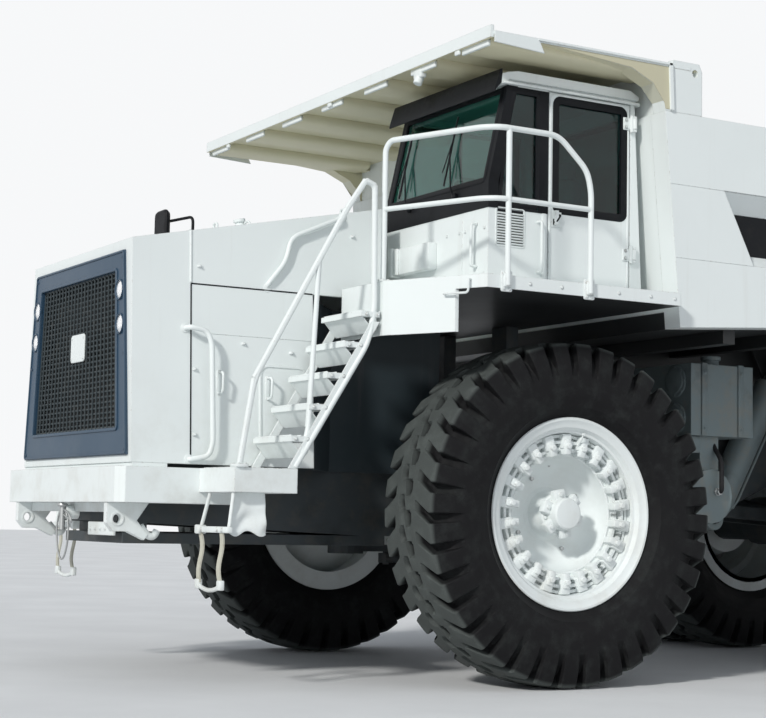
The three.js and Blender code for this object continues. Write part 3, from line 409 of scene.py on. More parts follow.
# ---------------------------------------------------------------- node materials
class Finish:
    """A node material on one Principled shader. Sockets take a value, a colour or another node's output."""

    def __init__(self, name, **shader):
        self.material = bpy.data.materials.new(name)
        self.material.use_nodes = True
        self.tree = self.material.node_tree
        self.shader = self.tree.nodes["Principled BSDF"]
        self.place = self.add("ShaderNodeTexCoord").outputs["Object"]
        self.set(self.shader, shader)

    def set(self, node, sockets):
        for key, value in sockets.items():
            socket = node.inputs[key if isinstance(key, int) else key.replace("_", " ")]
            if isinstance(value, bpy.types.NodeSocket):
                self.tree.links.new(value, socket)
                continue
            if socket.type == "RGBA" and len(value) == 3:
                value = (*value, 1.0)
            socket.default_value = value

    def done(self, **shader):
        """Sets or links the last sockets of the shader and gives the material."""
        self.set(self.shader, shader)
        return self.material

    def add(self, kind, settings=(), out=None, **sockets):
        node = self.tree.nodes.new(kind)
        for key, value in dict(settings).items():
            setattr(node, key, value)
        self.set(node, sockets)
        return node if out is None else node.outputs[out]

    def noise(self, scale, detail=4.0, rough=0.55, stretch=None):
        """Noise value, optionally on coordinates stretched by three factors."""
        place = self.place
        if stretch is not None:
            place = self.add("ShaderNodeMapping", out="Vector", Vector=place, Scale=stretch)
        return self.add("ShaderNodeTexNoise", out="Fac", Vector=place, Scale=scale, Detail=detail,
            Roughness=rough)

    def ramp(self, value, low, high):
        """0 below low, 1 above high, smooth between."""
        node = self.add("ShaderNodeMapRange", {"interpolation_type": "SMOOTHSTEP"}, Value=value)
        node.inputs["From Min"].default_value = low
        node.inputs["From Max"].default_value = high
        return node.outputs["Result"]

    def span(self, value, low, high):
        """0 to 1 mapped to low to high."""
        node = self.add("ShaderNodeMapRange", Value=value)
        node.inputs["To Min"].default_value = low
        node.inputs["To Max"].default_value = high
        return node.outputs["Result"]

    def maths(self, operation, a, b=0.0):
        node = self.add("ShaderNodeMath", {"operation": operation})
        self.set(node, {0: a, 1: b})
        return node.outputs[0]

    def times(self, a, b):
        return self.maths("MULTIPLY", a, b)

    def most(self, a, b):
        return self.maths("MAXIMUM", a, b)

    def rest(self, a):
        """One less the value."""
        return self.maths("SUBTRACT", 1.0, a)

    def mix(self, amount, a, b):
        node = self.add("ShaderNodeMix", {"data_type": "RGBA"})
        self.set(node, {0: amount, 6: a, 7: b})
        return node.outputs[2]

    def bump(self, height, strength=0.3, distance=0.002, normal=None):
        node = self.add("ShaderNodeBump", Height=height, Strength=strength, Distance=distance)
        if normal is not None:
            self.set(node, {"Normal": normal})
        return node.outputs["Normal"]

    def edge(self, radius):
        """Normal rounded over each edge, and how far it leans from the face's own normal there."""
        soft = self.add("ShaderNodeBevel", {"samples": 4}, out="Normal", Radius=radius)
        flat = self.add("ShaderNodeNewGeometry").outputs["Normal"]
        lean = self.add("ShaderNodeVectorMath", {"operation": "DOT_PRODUCT"})
        self.set(lean, {0: soft, 1: flat})
        return soft, self.ramp(self.rest(lean.outputs["Value"]), 0.02, 0.22)

    def height(self):
        """Height above the ground, in metres."""
        return self.add("ShaderNodeSeparateXYZ", out="Z", Vector=self.place)


def painted(name, colour, dust, chip, rough=0.38, dusty=0.5, edge=0.01, streak=0.25, underside=None,
        below_height=None, ribs=None):
    """Machine paint: slow colour drift, orange peel, streaks running down, dust that gathers low down and on ledges,
    and worn edges that show the primer. Faces that look down, those below a height, and the sides of ribs under a
    height within a half width take the underside's colour, a painted shade that stands in for the shade there."""
    finish = Finish(name, Metallic=0.0, Coat_Weight=0.15, Coat_Roughness=0.25)
    soft, worn = finish.edge(edge)
    cloud = finish.noise(0.9, 5.0)
    streaks = finish.noise(9.0, 6.0, 0.6, (1.0, 1.0, 0.06))
    grain = finish.noise(260.0, 2.0)
    drift = finish.mix(finish.span(finish.ramp(cloud, 0.35, 0.7), 0.0, 0.35), colour,
        tuple(c * 0.93 for c in colour))
    low = finish.rest(finish.ramp(finish.height(), 0.3, 2.6))
    patch = finish.ramp(finish.noise(3.5, 8.0, 0.65), 0.42, 0.68)
    run = finish.times(finish.ramp(streaks, 0.55, 0.75), streak)
    grime = finish.most(finish.times(finish.times(low, patch), dusty), run)
    shade = finish.mix(grime, drift, dust)
    # painted shade: faces that look down, faces below a height and rib sides under the canopy take the underside
    # colour, which stands in for the shade there
    if underside is not None:
        down = finish.add("ShaderNodeSeparateXYZ",
            Vector=finish.add("ShaderNodeNewGeometry").outputs["Normal"])
        below = finish.ramp(finish.times(down.outputs["Z"], -1.0), 0.3, 0.9)
        if below_height is not None:
            below = finish.most(below, finish.rest(finish.ramp(finish.height(), below_height - 0.01,
                below_height)))
        if ribs is not None:
            across = finish.ramp(finish.maths("ABSOLUTE", down.outputs["X"]), 0.5, 0.8)
            place = finish.add("ShaderNodeSeparateXYZ", Vector=finish.place)
            under = finish.rest(finish.ramp(place.outputs["Z"], ribs[0], ribs[0] + 0.006))
            inside = finish.rest(finish.ramp(finish.maths("ABSOLUTE", place.outputs["X"]), ribs[1],
                ribs[1] + 0.02))
            below = finish.most(below, finish.times(finish.times(across, under), inside))
        shade = finish.mix(below, shade, underside)
    chipped = finish.times(worn, finish.ramp(finish.noise(34.0, 5.0, 0.7), 0.52, 0.62))
    return finish.done(Base_Color=finish.mix(finish.times(chipped, 0.6), shade, chip),
        Roughness=finish.span(finish.most(grime, cloud), rough, rough + 0.3),
        Normal=finish.bump(grain, 0.06, 0.0006, finish.bump(patch, 0.08, 0.0015, soft)))


def cast_metal(name, colour, dust, rough=0.62):
    """Cast and forged chassis steel under thick paint: pitted skin, oil stains and dry dust."""
    finish = Finish(name, Metallic=0.15)
    soft, worn = finish.edge(0.012)
    pits = finish.noise(90.0, 6.0, 0.7)
    oil = finish.ramp(finish.noise(2.2, 6.0, 0.6), 0.5, 0.72)
    dry = finish.ramp(finish.noise(5.5, 8.0, 0.7), 0.45, 0.66)
    stained = finish.mix(finish.times(oil, 0.65), colour, tuple(c * 0.3 for c in colour))
    shade = finish.mix(finish.times(dry, 0.45), stained, dust)
    return finish.done(Base_Color=finish.mix(finish.times(worn, 0.35), shade,
            tuple(min(1, c * 1.9) for c in colour)),
        Roughness=finish.span(oil, rough, rough - 0.25),
        Normal=finish.bump(pits, 0.25, 0.002, soft))


def tyre_rubber(name, colour, dust, axle):
    """Rubber: near black sidewalls with fine crazing, and a dusty grey skin on the tread, which is told by
    the distance from the axle."""
    finish = Finish(name, Specular_IOR_Level=0.12)
    craze = finish.add("ShaderNodeTexVoronoi", {"feature": "DISTANCE_TO_EDGE"}, out="Distance",
        Vector=finish.place, Scale=46.0)
    skin = finish.noise(7.0, 8.0, 0.7)
    fine = finish.noise(120.0, 4.0)
    centred = finish.add("ShaderNodeMapping", out="Vector", Vector=finish.place,
        Location=(0.0, -axle[1], -axle[2]))
    flat = finish.add("ShaderNodeVectorMath", {"operation": "MULTIPLY"})
    finish.set(flat, {0: centred, 1: (0.0, 1.0, 1.0)})
    reach = finish.add("ShaderNodeVectorMath", {"operation": "LENGTH"})
    finish.set(reach, {0: flat.outputs["Vector"]})
    tread = finish.ramp(reach.outputs["Value"], 1.245, 1.283)
    powder = finish.ramp(skin, 0.44, 0.72)
    dusty = finish.most(finish.times(powder, 0.16), finish.times(tread, finish.span(powder, 0.62, 0.9)))
    shade = finish.mix(dusty, colour, dust)
    return finish.done(Base_Color=finish.mix(finish.span(fine, 0.0, 0.25), shade,
            tuple(c * 0.5 for c in colour)),
        Roughness=finish.span(powder, 0.62, 0.92),
        Normal=finish.bump(fine, 0.35, 0.002, finish.bump(finish.ramp(craze, 0.0, 0.06), 0.12, 0.001)))


def plain_trim(name, colour, rough=0.6, grain=190.0, metal=0.0, dust=(0.3, 0.28, 0.25), dusty=0.12):
    """Moulded or coated trim: pebbled grain, scuffs and a little dust."""
    finish = Finish(name, Metallic=metal, Specular_IOR_Level=0.16)
    scuff = finish.ramp(finish.noise(14.0, 7.0, 0.7), 0.5, 0.72)
    return finish.done(Base_Color=finish.mix(finish.times(scuff, dusty), colour, dust),
        Roughness=finish.span(scuff, rough, min(0.95, rough + 0.2)),
        Normal=finish.bump(finish.noise(grain, 3.0), 0.25, 0.001))


def safety_glass(name, colour):
    """Tinted glass: slightly wavy, with a thin film of dust towards its edges."""
    finish = Finish(name, Base_Color=colour, Transmission_Weight=1.0, IOR=1.45)
    film = finish.ramp(finish.noise(3.0, 8.0, 0.7), 0.55, 0.8)
    return finish.done(Roughness=finish.span(film, 0.02, 0.12),
        Normal=finish.bump(finish.noise(2.5, 2.0), 0.03, 0.01))


def ground_steel(name, colour, rough=0.16):
    """Polished rod: fine rings across it and light smears of oil."""
    finish = Finish(name, Metallic=1.0)
    smear = finish.noise(6.0, 6.0, 0.6)
    return finish.done(Base_Color=finish.mix(finish.ramp(smear, 0.45, 0.75), colour,
            tuple(c * 0.75 for c in colour)),
        Roughness=finish.span(smear, rough, rough + 0.2),
        Normal=finish.bump(finish.noise(420.0, 2.0), 0.04, 0.0004))


def radiator_core(name, colour):
    """Radiator core: fine upright fins as a wave, with caked dust."""
    finish = Finish(name, Metallic=0.4, Roughness=0.6)
    fins = finish.add("ShaderNodeTexWave", {"bands_direction": "X"}, out="Fac", Vector=finish.place,
        Scale=55.0, Distortion=0.4)
    caked = finish.ramp(finish.noise(8.0, 7.0, 0.7), 0.45, 0.7)
    return finish.done(Base_Color=finish.mix(finish.times(caked, 0.3), colour, (0.2, 0.19, 0.17)),
        Normal=finish.bump(fins, 0.6, 0.004))


def lamp_lens(name):
    """Clear lens with upright flutes."""
    finish = Finish(name, Base_Color=(0.92, 0.95, 0.96), Transmission_Weight=0.9, IOR=1.5, Roughness=0.05)
    flutes = finish.add("ShaderNodeTexWave", {"bands_direction": "X"}, out="Fac", Vector=finish.place,
        Scale=28.0)
    film = finish.noise(9.0, 5.0)
    return finish.done(Normal=finish.bump(finish.maths("ADD", flutes, film), 0.25, 0.002))


# ---------------------------------------------------------------- sizes and colours
LUG_DEPTH = 0.058    # depth to which the groove's section is drawn


def colour(name, description, default):
    """A colour property."""
    return bpy.props.FloatVectorProperty(name=name, description=description, subtype="COLOR", size=3, min=0,
        max=1, default=default)


def length(name, description, default):
    """A length property in metres."""
    return bpy.props.FloatProperty(name=name, description=description, default=default, min=0.0005,
        unit="LENGTH")


def count(name, description, default):
    """A whole number of repeated pieces."""
    return bpy.props.IntProperty(name=name, description=description, default=default, min=1)


class TruckColours(bpy.types.PropertyGroup):
    """Colours of the finishes."""
    white: colour("White paint", "Body, cab, hood and rims", (0.8, 0.845, 0.84))
    # painted shade: the cream colour stands in for the shade under the canopy and in its side pockets
    cream: colour("Canopy underside", "Paint under the canopy", (0.72, 0.68, 0.49))
    # painted shade: this dark colour stands in for the shade under the decks and the body, laid on their downward and
    # lower faces
    shade: colour("Underside", "Grimy paint under the decks and the body", (0.016, 0.018, 0.019))
    slate: colour("Slate paint", "Grille surround", (0.017, 0.052, 0.096))
    arch: colour("Arch paint", "Wheel arch panels", (0.026, 0.04, 0.048))
    chassis: colour("Chassis paint", "Frame, axles and tanks", (0.05, 0.06, 0.066))
    rubber: colour("Rubber", "Tyres", (0.01, 0.01, 0.011))
    black: colour("Black trim", "Gaskets, mats and mesh", (0.005, 0.006, 0.008))
    glass: colour("Glass tint", "Cab windows", (0.3, 0.68, 0.58))
    # painted shade: the side windows take a darker copy of the glass tint, standing in for the shade of the cab behind
    # them
    side_glass: colour("Side glass tint", "Door and quarter windows", (0.13, 0.22, 0.23))
    dust: colour("Dust", "Dust and dry mud", (0.42, 0.39, 0.33))
    steel: colour("Steel", "Polished rods", (0.72, 0.73, 0.75))


class TruckSizes(bpy.types.PropertyGroup):
    """Sizes of the fine pieces."""
    lugs: count("Shoulder lugs", "Lugs round each shoulder of a tyre", 36)
    lug_depth: length("Lug depth", "Depth of the tread grooves", LUG_DEPTH)
    clamps: count("Rim clamps", "Wedge clamps round each rim", 22)
    hub_bolts: count("Hub bolts", "Bolts round each hub", 14)
    tube: length("Rail tube", "Radius of guard rails and handrails", 0.0245)
    mesh_row: length("Grille rows", "Pitch of the grille's level wires", 0.04)
    mesh_column: length("Grille columns", "Pitch of the grille's upright wires", 0.078)
    mesh_wire: length("Grille wire", "Radius of the grille's wires", 0.008)
    lamp: length("Headlamp", "Radius of a headlamp's bezel", 0.077)
    gasket: length("Gasket", "Width of the window gaskets", 0.03)
    bolt: length("Bolt", "Radius of a bolt head", 0.014)


def colours():
    """The colour settings as plain tuples."""
    group = bpy.context.scene.truck_colours
    return {key: tuple(getattr(group, key)) for key in TruckColours.__annotations__}


def sizes():
    """The size settings."""
    return bpy.context.scene.truck_sizes


# ---------------------------------------------------------------- stage
CAMERA_PLACE = (12.8814, -10.0556, 1.2207)
CAMERA_YAW = 1.0439      # to the left of straight ahead
CAMERA_PITCH = 0.0919    # above the horizon
CAMERA_ROLL = 0.0193
CAMERA_LENS = 82.6


class TRUCK_OT_stage(bpy.types.Operator):
    """Adds the floor, the soft lamps, the world and the camera"""
    bl_idname = "truck.stage"
    bl_label = "Stage"

    def execute(self, context):
        scene = context.scene
        scene.view_settings.view_transform = "Standard"
        floor = bpy.data.meshes.new("floor")
        reach = 120.0
        floor.from_pydata([(-reach, -reach, 0), (reach, -reach, 0), (reach, reach, 0), (-reach, reach, 0)],
            [], [(0, 1, 2, 3)])
        ground = bpy.data.objects.new("floor", floor)
        scene.collection.objects.link(ground)
        finish = Finish("pale_floor", Roughness=0.85, Specular_IOR_Level=0.2)
        cloud = finish.noise(0.6, 6.0)
        ground_finish = finish.done(Base_Color=finish.mix(finish.ramp(cloud, 0.3, 0.75), (0.8, 0.81, 0.82),
                (0.87, 0.88, 0.89)),
            Normal=finish.bump(finish.noise(30.0, 4.0), 0.1, 0.002))
        floor.materials.append(ground_finish)
        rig.stage(ground)
        self.world(scene)
        self.lamp("sun", 2.3, 0.1, (0.46, -0.8, 0.5), (1.0, 0.985, 0.95))
        self.lamp("fill", 0.25, 0.9, (1.0, 0.1, 0.45), (0.93, 0.97, 1.0))
        self.camera(scene)
        return {"FINISHED"}

    def world(self, scene):
        """Even pale light; the camera, the gloss and the glass see a plain near-white behind the truck."""
        world = bpy.data.worlds.new("pale_world")
        world.use_nodes = True
        tree = world.node_tree
        light = tree.nodes["Background"]
        light.inputs["Color"].default_value = (0.86, 0.92, 1.0, 1.0)
        light.inputs["Strength"].default_value = 0.38
        seen = tree.nodes.new("ShaderNodeBackground")
        seen.inputs["Color"].default_value = (0.93, 0.94, 0.95, 1.0)
        rays = tree.nodes.new("ShaderNodeLightPath")
        mixed = tree.nodes.new("ShaderNodeMixShader")
        shown = rays.outputs["Is Camera Ray"]
        for ray in ("Is Glossy Ray", "Is Transmission Ray"):
            either = tree.nodes.new("ShaderNodeMath")
            either.operation = "MAXIMUM"
            tree.links.new(shown, either.inputs[0])
            tree.links.new(rays.outputs[ray], either.inputs[1])
            shown = either.outputs[0]
        tree.links.new(shown, mixed.inputs[0])
        tree.links.new(light.outputs[0], mixed.inputs[1])
        tree.links.new(seen.outputs[0], mixed.inputs[2])
        tree.links.new(mixed.outputs[0], tree.nodes["World Output"].inputs["Surface"])
        scene.world = world

    def lamp(self, name, strength, angle, toward, tint):
        """A wide distant lamp that stands in the given direction."""
        data = bpy.data.lights.new(name, "SUN")
        data.energy, data.angle, data.color = strength, angle, tint
        lamp = bpy.data.objects.new(name, data)
        lamp.rotation_mode = "QUATERNION"
        lamp.rotation_quaternion = Vector(toward).to_track_quat("Z", "Y")
        bpy.context.scene.collection.objects.link(lamp)

    def camera(self, scene):
        """Camera turned by yaw, then pitch, then roll."""
        data = bpy.data.cameras.new("camera")
        data.lens, data.sensor_width = CAMERA_LENS, 36.0
        data.clip_end = 500.0
        camera = bpy.data.objects.new("camera", data)
        turn = (Matrix.Rotation(CAMERA_YAW, 4, "Z") @ Matrix.Rotation(math.pi / 2 + CAMERA_PITCH, 4,
            "X") @ Matrix.Rotation(CAMERA_ROLL, 4, "Z"))
        camera.matrix_world = Matrix.Translation(CAMERA_PLACE) @ turn
        scene.collection.objects.link(camera)
        scene.camera = camera


# ---------------------------------------------------------------- finishes
class TRUCK_OT_finishes(bpy.types.Operator):
    """Makes the materials and puts them on the frame's own pieces"""
    bl_idname = "truck.finishes"
    bl_label = "Finishes"

    SLOTS = {"white_paint": "white paint", "slate_paint": "slate paint", "chassis_paint": "chassis paint",
        "tyre_rubber": "front rubber", "tinted_glass": "safety glass", "black_trim": "black trim",
        "bright_steel": "polished steel"}
    SPECIAL = {"canopy": "canopy paint", "body_floor": "body floor paint", "radiator": "radiator core",
        "driver_seat": "seat vinyl", "deck_left": "deck paint", "deck_right": "deck paint",
        "tow_hooks": "white paint", "wheel_arch_panel_left": "arch paint",
        "wheel_arch_panel_right": "arch paint", "door_glass": "side glass", "quarter_glass": "side glass",
        "right_side_glass": "side glass", "tank_left": "tank paint", "tank_right": "tank paint"}

    def execute(self, context):
        c = colours()
        primer = (0.3, 0.22, 0.16)
        painted("white paint", c["white"], c["dust"], primer, 0.36, 0.42, 0.01, 0.1)
        # painted shade: the canopy's downward faces and its rib sides under the canopy take the cream, which stands in
        # for the shade there
        painted("canopy paint", c["white"], c["dust"], primer, 0.4, 0.4, 0.01, 0.12, c["cream"],
            ribs=(4.758, 2.37))
        painted("arch paint", c["arch"], (0.12, 0.12, 0.12), (0.12, 0.1, 0.09), 0.45, 0.35, 0.01, 0.3)
        painted("slate paint", c["slate"], (0.14, 0.16, 0.17), (0.12, 0.1, 0.09), 0.34, 0.35, 0.006, 0.12)
        painted("rim paint", c["white"], (0.5, 0.47, 0.41), (0.26, 0.15, 0.09), 0.42, 0.3, 0.005, 0.06)
        # painted shade: the decks' downward faces take the dark underside colour
        painted("deck paint", c["white"], c["dust"], primer, 0.36, 0.42, 0.01, 0.1, c["shade"])
        # painted shade: the body floor's downward faces and all of it below 2.878 m take the dark underside colour
        painted("body floor paint", c["white"], c["dust"], primer, 0.4, 0.4, 0.01, 0.12, c["shade"], 2.878)
        cast_metal("chassis paint", c["chassis"], tuple(v * 0.22 for v in c["dust"]))
        # painted shade: cream material for the corrugations under the canopy, standing in for the shade there
        painted("canopy cream", c["cream"], c["dust"], primer, 0.45, 0.4, 0.006, 0.1)
        # painted shade: a darker copy of the cream, standing in for the deeper shade in the canopy's side pockets
        painted("pocket cream", tuple(v * 0.78 for v in c["cream"]), c["dust"], primer, 0.45, 0.4, 0.006,
            0.1)
        cast_metal("tank paint", (0.19, 0.235, 0.245), tuple(v * 0.6 for v in c["dust"]))
        plain_trim("strap webbing", (0.55, 0.54, 0.46), 0.85, 300.0, 0.0, (0.3, 0.26, 0.2), 0.5)
        tread_dust = (0.115, 0.13, 0.125)
        tyre_rubber("front rubber", c["rubber"], tread_dust, FRONT_AXLE)
        tyre_rubber("rear rubber", c["rubber"], tread_dust, REAR_AXLE)
        plain_trim("black trim", c["black"], 0.5, 190.0, 0.0, (0.2, 0.19, 0.17), 0.05)
        plain_trim("black mesh", (0.055, 0.068, 0.074), 0.45, 120.0, 0.3)
        plain_trim("grip black", (0.02, 0.02, 0.022), 0.7, 60.0)
        plain_trim("seat vinyl", (0.26, 0.33, 0.33), 0.5, 320.0)
        plain_trim("galvanised", (0.45, 0.46, 0.46), 0.42, 30.0, 0.8)
        plain_trim("amber lens", (0.75, 0.22, 0.02), 0.2, 90.0)
        plain_trim("red lens", (0.45, 0.01, 0.01), 0.2, 90.0)
        plain_trim("reflector", (0.85, 0.86, 0.88), 0.08, 60.0, 1.0)
        plain_trim("hose", (0.022, 0.022, 0.024), 0.6, 240.0)
        safety_glass("safety glass", c["glass"])
        # painted shade: a darker copy of the windscreen glass for the door and quarter windows
        safety_glass("side glass", c["side_glass"])
        ground_steel("polished steel", c["steel"])
        radiator_core("radiator core", (0.03, 0.032, 0.034))
        lamp_lens("lamp lens")
        slots = {part["node"]: part["material_slot"] for part in frame["record"]["subparts"]}
        for node, cad in frame["nodes"].items():
            material = bpy.data.materials[self.SPECIAL.get(node, self.SLOTS[slots[node]])]
            cad.data.materials.clear()
            cad.data.materials.append(material)
        return {"FINISHED"}


# ---------------------------------------------------------------- wheels
def bump_step(x, low, high):
    """Smooth step from 0 at low to 1 at high."""
    t = np.clip((x - low) / (high - low), 0, 1)
    return t * t * (3 - 2 * t)


TYRE_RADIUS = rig.box("front_tyre_left")[1].z / 2
TYRE_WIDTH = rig.box("front_tyre_left")[1].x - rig.box("front_tyre_left")[0].x
# Half sections of the tyre over a lug and in a groove, bead to middle: (distance from the middle, radius).
LUG_SECTION = np.array([[0.256, 0.652], [0.268, 0.735], [0.33, 0.8], [0.358, 0.88], [0.364, 0.96],
    [0.3655, 1.03], [0.364, 1.1], [0.352, 1.18], [0.332, 1.262], [0.322, 1.279], [0.3, 1.285], [0.22, 1.291],
    [0.15, 1.296], [0.075, 1.299], [0.0, 1.3]])
GROOVE_SECTION = np.array([[0.256, 0.652], [0.268, 0.735], [0.33, 0.8], [0.358, 0.88], [0.363, 0.96],
    [0.357, 1.03], [0.336, 1.088], [0.305, 1.13], [0.286, 1.165], [0.272, 1.185], [0.25, 1.2],
    [0.205, 1.214], [0.15, 1.226], [0.075, 1.236], [0.0, 1.24]])
SECTION_STEPS = 5


def refined(section, steps):
    """A section with each span cut into equal steps, then rounded by one pass of a three-point average that
    leaves its ends in place."""
    t = np.linspace(0, len(section) - 1, (len(section) - 1) * steps + 1)
    out = np.stack([np.interp(t, np.arange(len(section)), section[:, k]) for k in (0, 1)], 1)
    out[1:-1] = 0.25 * out[:-2] + 0.5 * out[1:-1] + 0.25 * out[2:]
    return out


def tyre_shape(centre, lugs, depth, outward):
    """Rock tyre. Two sections run from bead to bead, one over a lug and one in a groove, and each point lies
    between them by a mask that has steep walls round the tyre. The mask is a wide gap at each shoulder that
    narrows inwards, and an oval pocket on the middle line. The grid is sheared by the distance from the
    middle, so that the grooves slant, and the two halves stand half a pitch apart."""
    lug, groove = refined(LUG_SECTION, SECTION_STEPS), refined(GROOVE_SECTION, SECTION_STEPS)
    groove = lug + (groove - lug) * depth / LUG_DEPTH
    both_sides = lambda section: np.concatenate([section, (section * [-1, 1])[-2::-1]])
    lug, groove = both_sides(lug), both_sides(groove)
    side = np.sign(lug[:, 0])[None, :]
    width = np.abs(lug[:, 0])[None, :]
    pitch = TAU / lugs
    station = np.array([0.0, 0.1, 0.2, 0.29, 0.325, 0.36, 0.4, 0.5, 0.6, 0.645, 0.68, 0.72, 0.8, 0.9])
    turn = (np.arange(lugs)[:, None] + station[None, :]).ravel()[:, None]
    share = turn % 1.0
    shear = 0.25 * side + 0.9 * np.clip(width - 0.1, 0, 0.2) / 0.2 * 0.55
    angle = (turn + shear) * pitch
    gap = bump_step(share, 0.315, 0.37) * (1 - bump_step(share, 0.635, 0.69))
    throat = bump_step(width, 0.135, 0.165)
    fade = 1 - bump_step(-lug[:, 1], -1.06, -0.99)[None, :]
    pocket_share = (turn + 0.5) % 1.0
    oval = 1 - bump_step(((pocket_share - 0.5) / 0.26) ** 2 + ((width - 0.03) / 0.055) ** 2, 0.65, 1.25)
    mask = np.clip(gap * throat * fade + 0.75 * oval * (width < 0.12), 0, 1)
    out = lug[None] + (groove - lug)[None] * mask[..., None]
    ridge = 0.005 * np.exp(-((lug[:, 1] - 0.8) / 0.012) ** 2) + 0.003 * np.exp(-((lug[:, 1] - 0.93)
        / 0.01) ** 2)
    sideways = np.clip(out[..., 0] + side * ridge[None, :] * (width > 0.2), -TYRE_WIDTH / 2, TYRE_WIDTH / 2)
    full = np.minimum(out[..., 1], TYRE_RADIUS)
    points = np.stack([outward * sideways, -full * np.sin(angle), full * np.cos(angle)], -1)
    return Shape().grid(points + np.array(centre), wrap_u=True)


class TRUCK_OT_tyres(bpy.types.Operator):
    """Six rock tyres with lugs, grooves and ridged sidewalls"""
    bl_idname = "truck.tyres"
    bl_label = "Tyres"

    def execute(self, context):
        size = sizes()
        places = [("front_tyre", "front_wheel", FRONT_AXLE[0], FRONT_AXLE)]
        for name in ("rear_tyre_inner", "rear_tyre_outer"):
            low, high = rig.box(name + "_left")
            places.append((name, "rear_wheels", (low.x + high.x) / 2, REAR_AXLE))
        for stem, wheel, middle, axle in places:
            for side, sign in SIDES:
                shape = tyre_shape((sign * middle, axle[1], axle[2]), size.lugs, size.lug_depth, sign)
                made = piece(f"rock_{stem}_{side}", shape, wheel.split("_")[0] + " rubber",
                    f"{wheel}_{side}", 30)
                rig.replaces(made, f"{stem}_{side}")
        return {"FINISHED"}


def clamp_ring(centre, face, outward, count, radius=0.524, reach=0.16, wide=0.084):
    """Wedge clamps round a rim: each is a rounded foot, a narrower heel and a nut, and between two clamps
    lie three bands of the wedge ring. One clamp is turned round the axle in equal steps."""
    step = TAU / count
    one = Shape()
    one.take(block((face - 0.012, -wide / 2, radius - reach * 0.2),
            (face + 0.07, wide / 2, radius + reach * 0.5), 0.01),
        block((face - 0.012, -wide * 0.34, radius - reach * 0.5),
            (face + 0.09, wide * 0.34, radius + reach * 0.22), 0.012),
        lathe([(face + 0.08, 0), (face + 0.08, 0.024), (face + 0.106, 0.024), (face + 0.11, 0.017),
            (face + 0.11, 0)], (0, 0, radius - 0.012), LEFT, 6))
    turn = np.linspace(-0.5 * step, 0.5 * step, 7)
    for inner, top in ((radius - 0.05, 0.03), (radius + 0.004, 0.044), (radius + 0.048, 0.03)):
        section = np.array([(face - 0.01, inner), (face + top, inner + 0.003), (face + top, inner + 0.026),
            (face - 0.01, inner + 0.03)])
        arc = np.stack([np.repeat(section[None, :, 0], 7, 0), -section[None, :, 1] * np.sin(turn)[:, None],
            section[None, :, 1] * np.cos(turn)[:, None]], -1)
        one.grid(arc)
    return ring_of(one, centre, outward, count)


def ring_of(one, centre, outward, count, start=0.0):
    """Copies of a shape turned about the X axis in equal steps, then moved to centre and faced outwards."""
    made = Shape()
    for index in range(count):
        turned = Shape().take(one)
        turned.moved(Matrix.Rotation(start + TAU * index / count, 4, "X"))
        made.take(turned, mirror=outward < 0)
    return made.moved(Matrix.Translation(centre))


def on_axle(shape, centre, outward):
    """A shape made round the X axis, faced outwards and moved to its axle."""
    return Shape().take(shape, mirror=outward < 0).moved(Matrix.Translation(centre))


RIM_HALF = 0.283
FLANGE = [(0.25, 0.654), (0.256, 0.7), (0.264, 0.722), (0.274, 0.7265), (0.282, 0.72), (0.281, 0.704),
    (0.268, 0.684)]


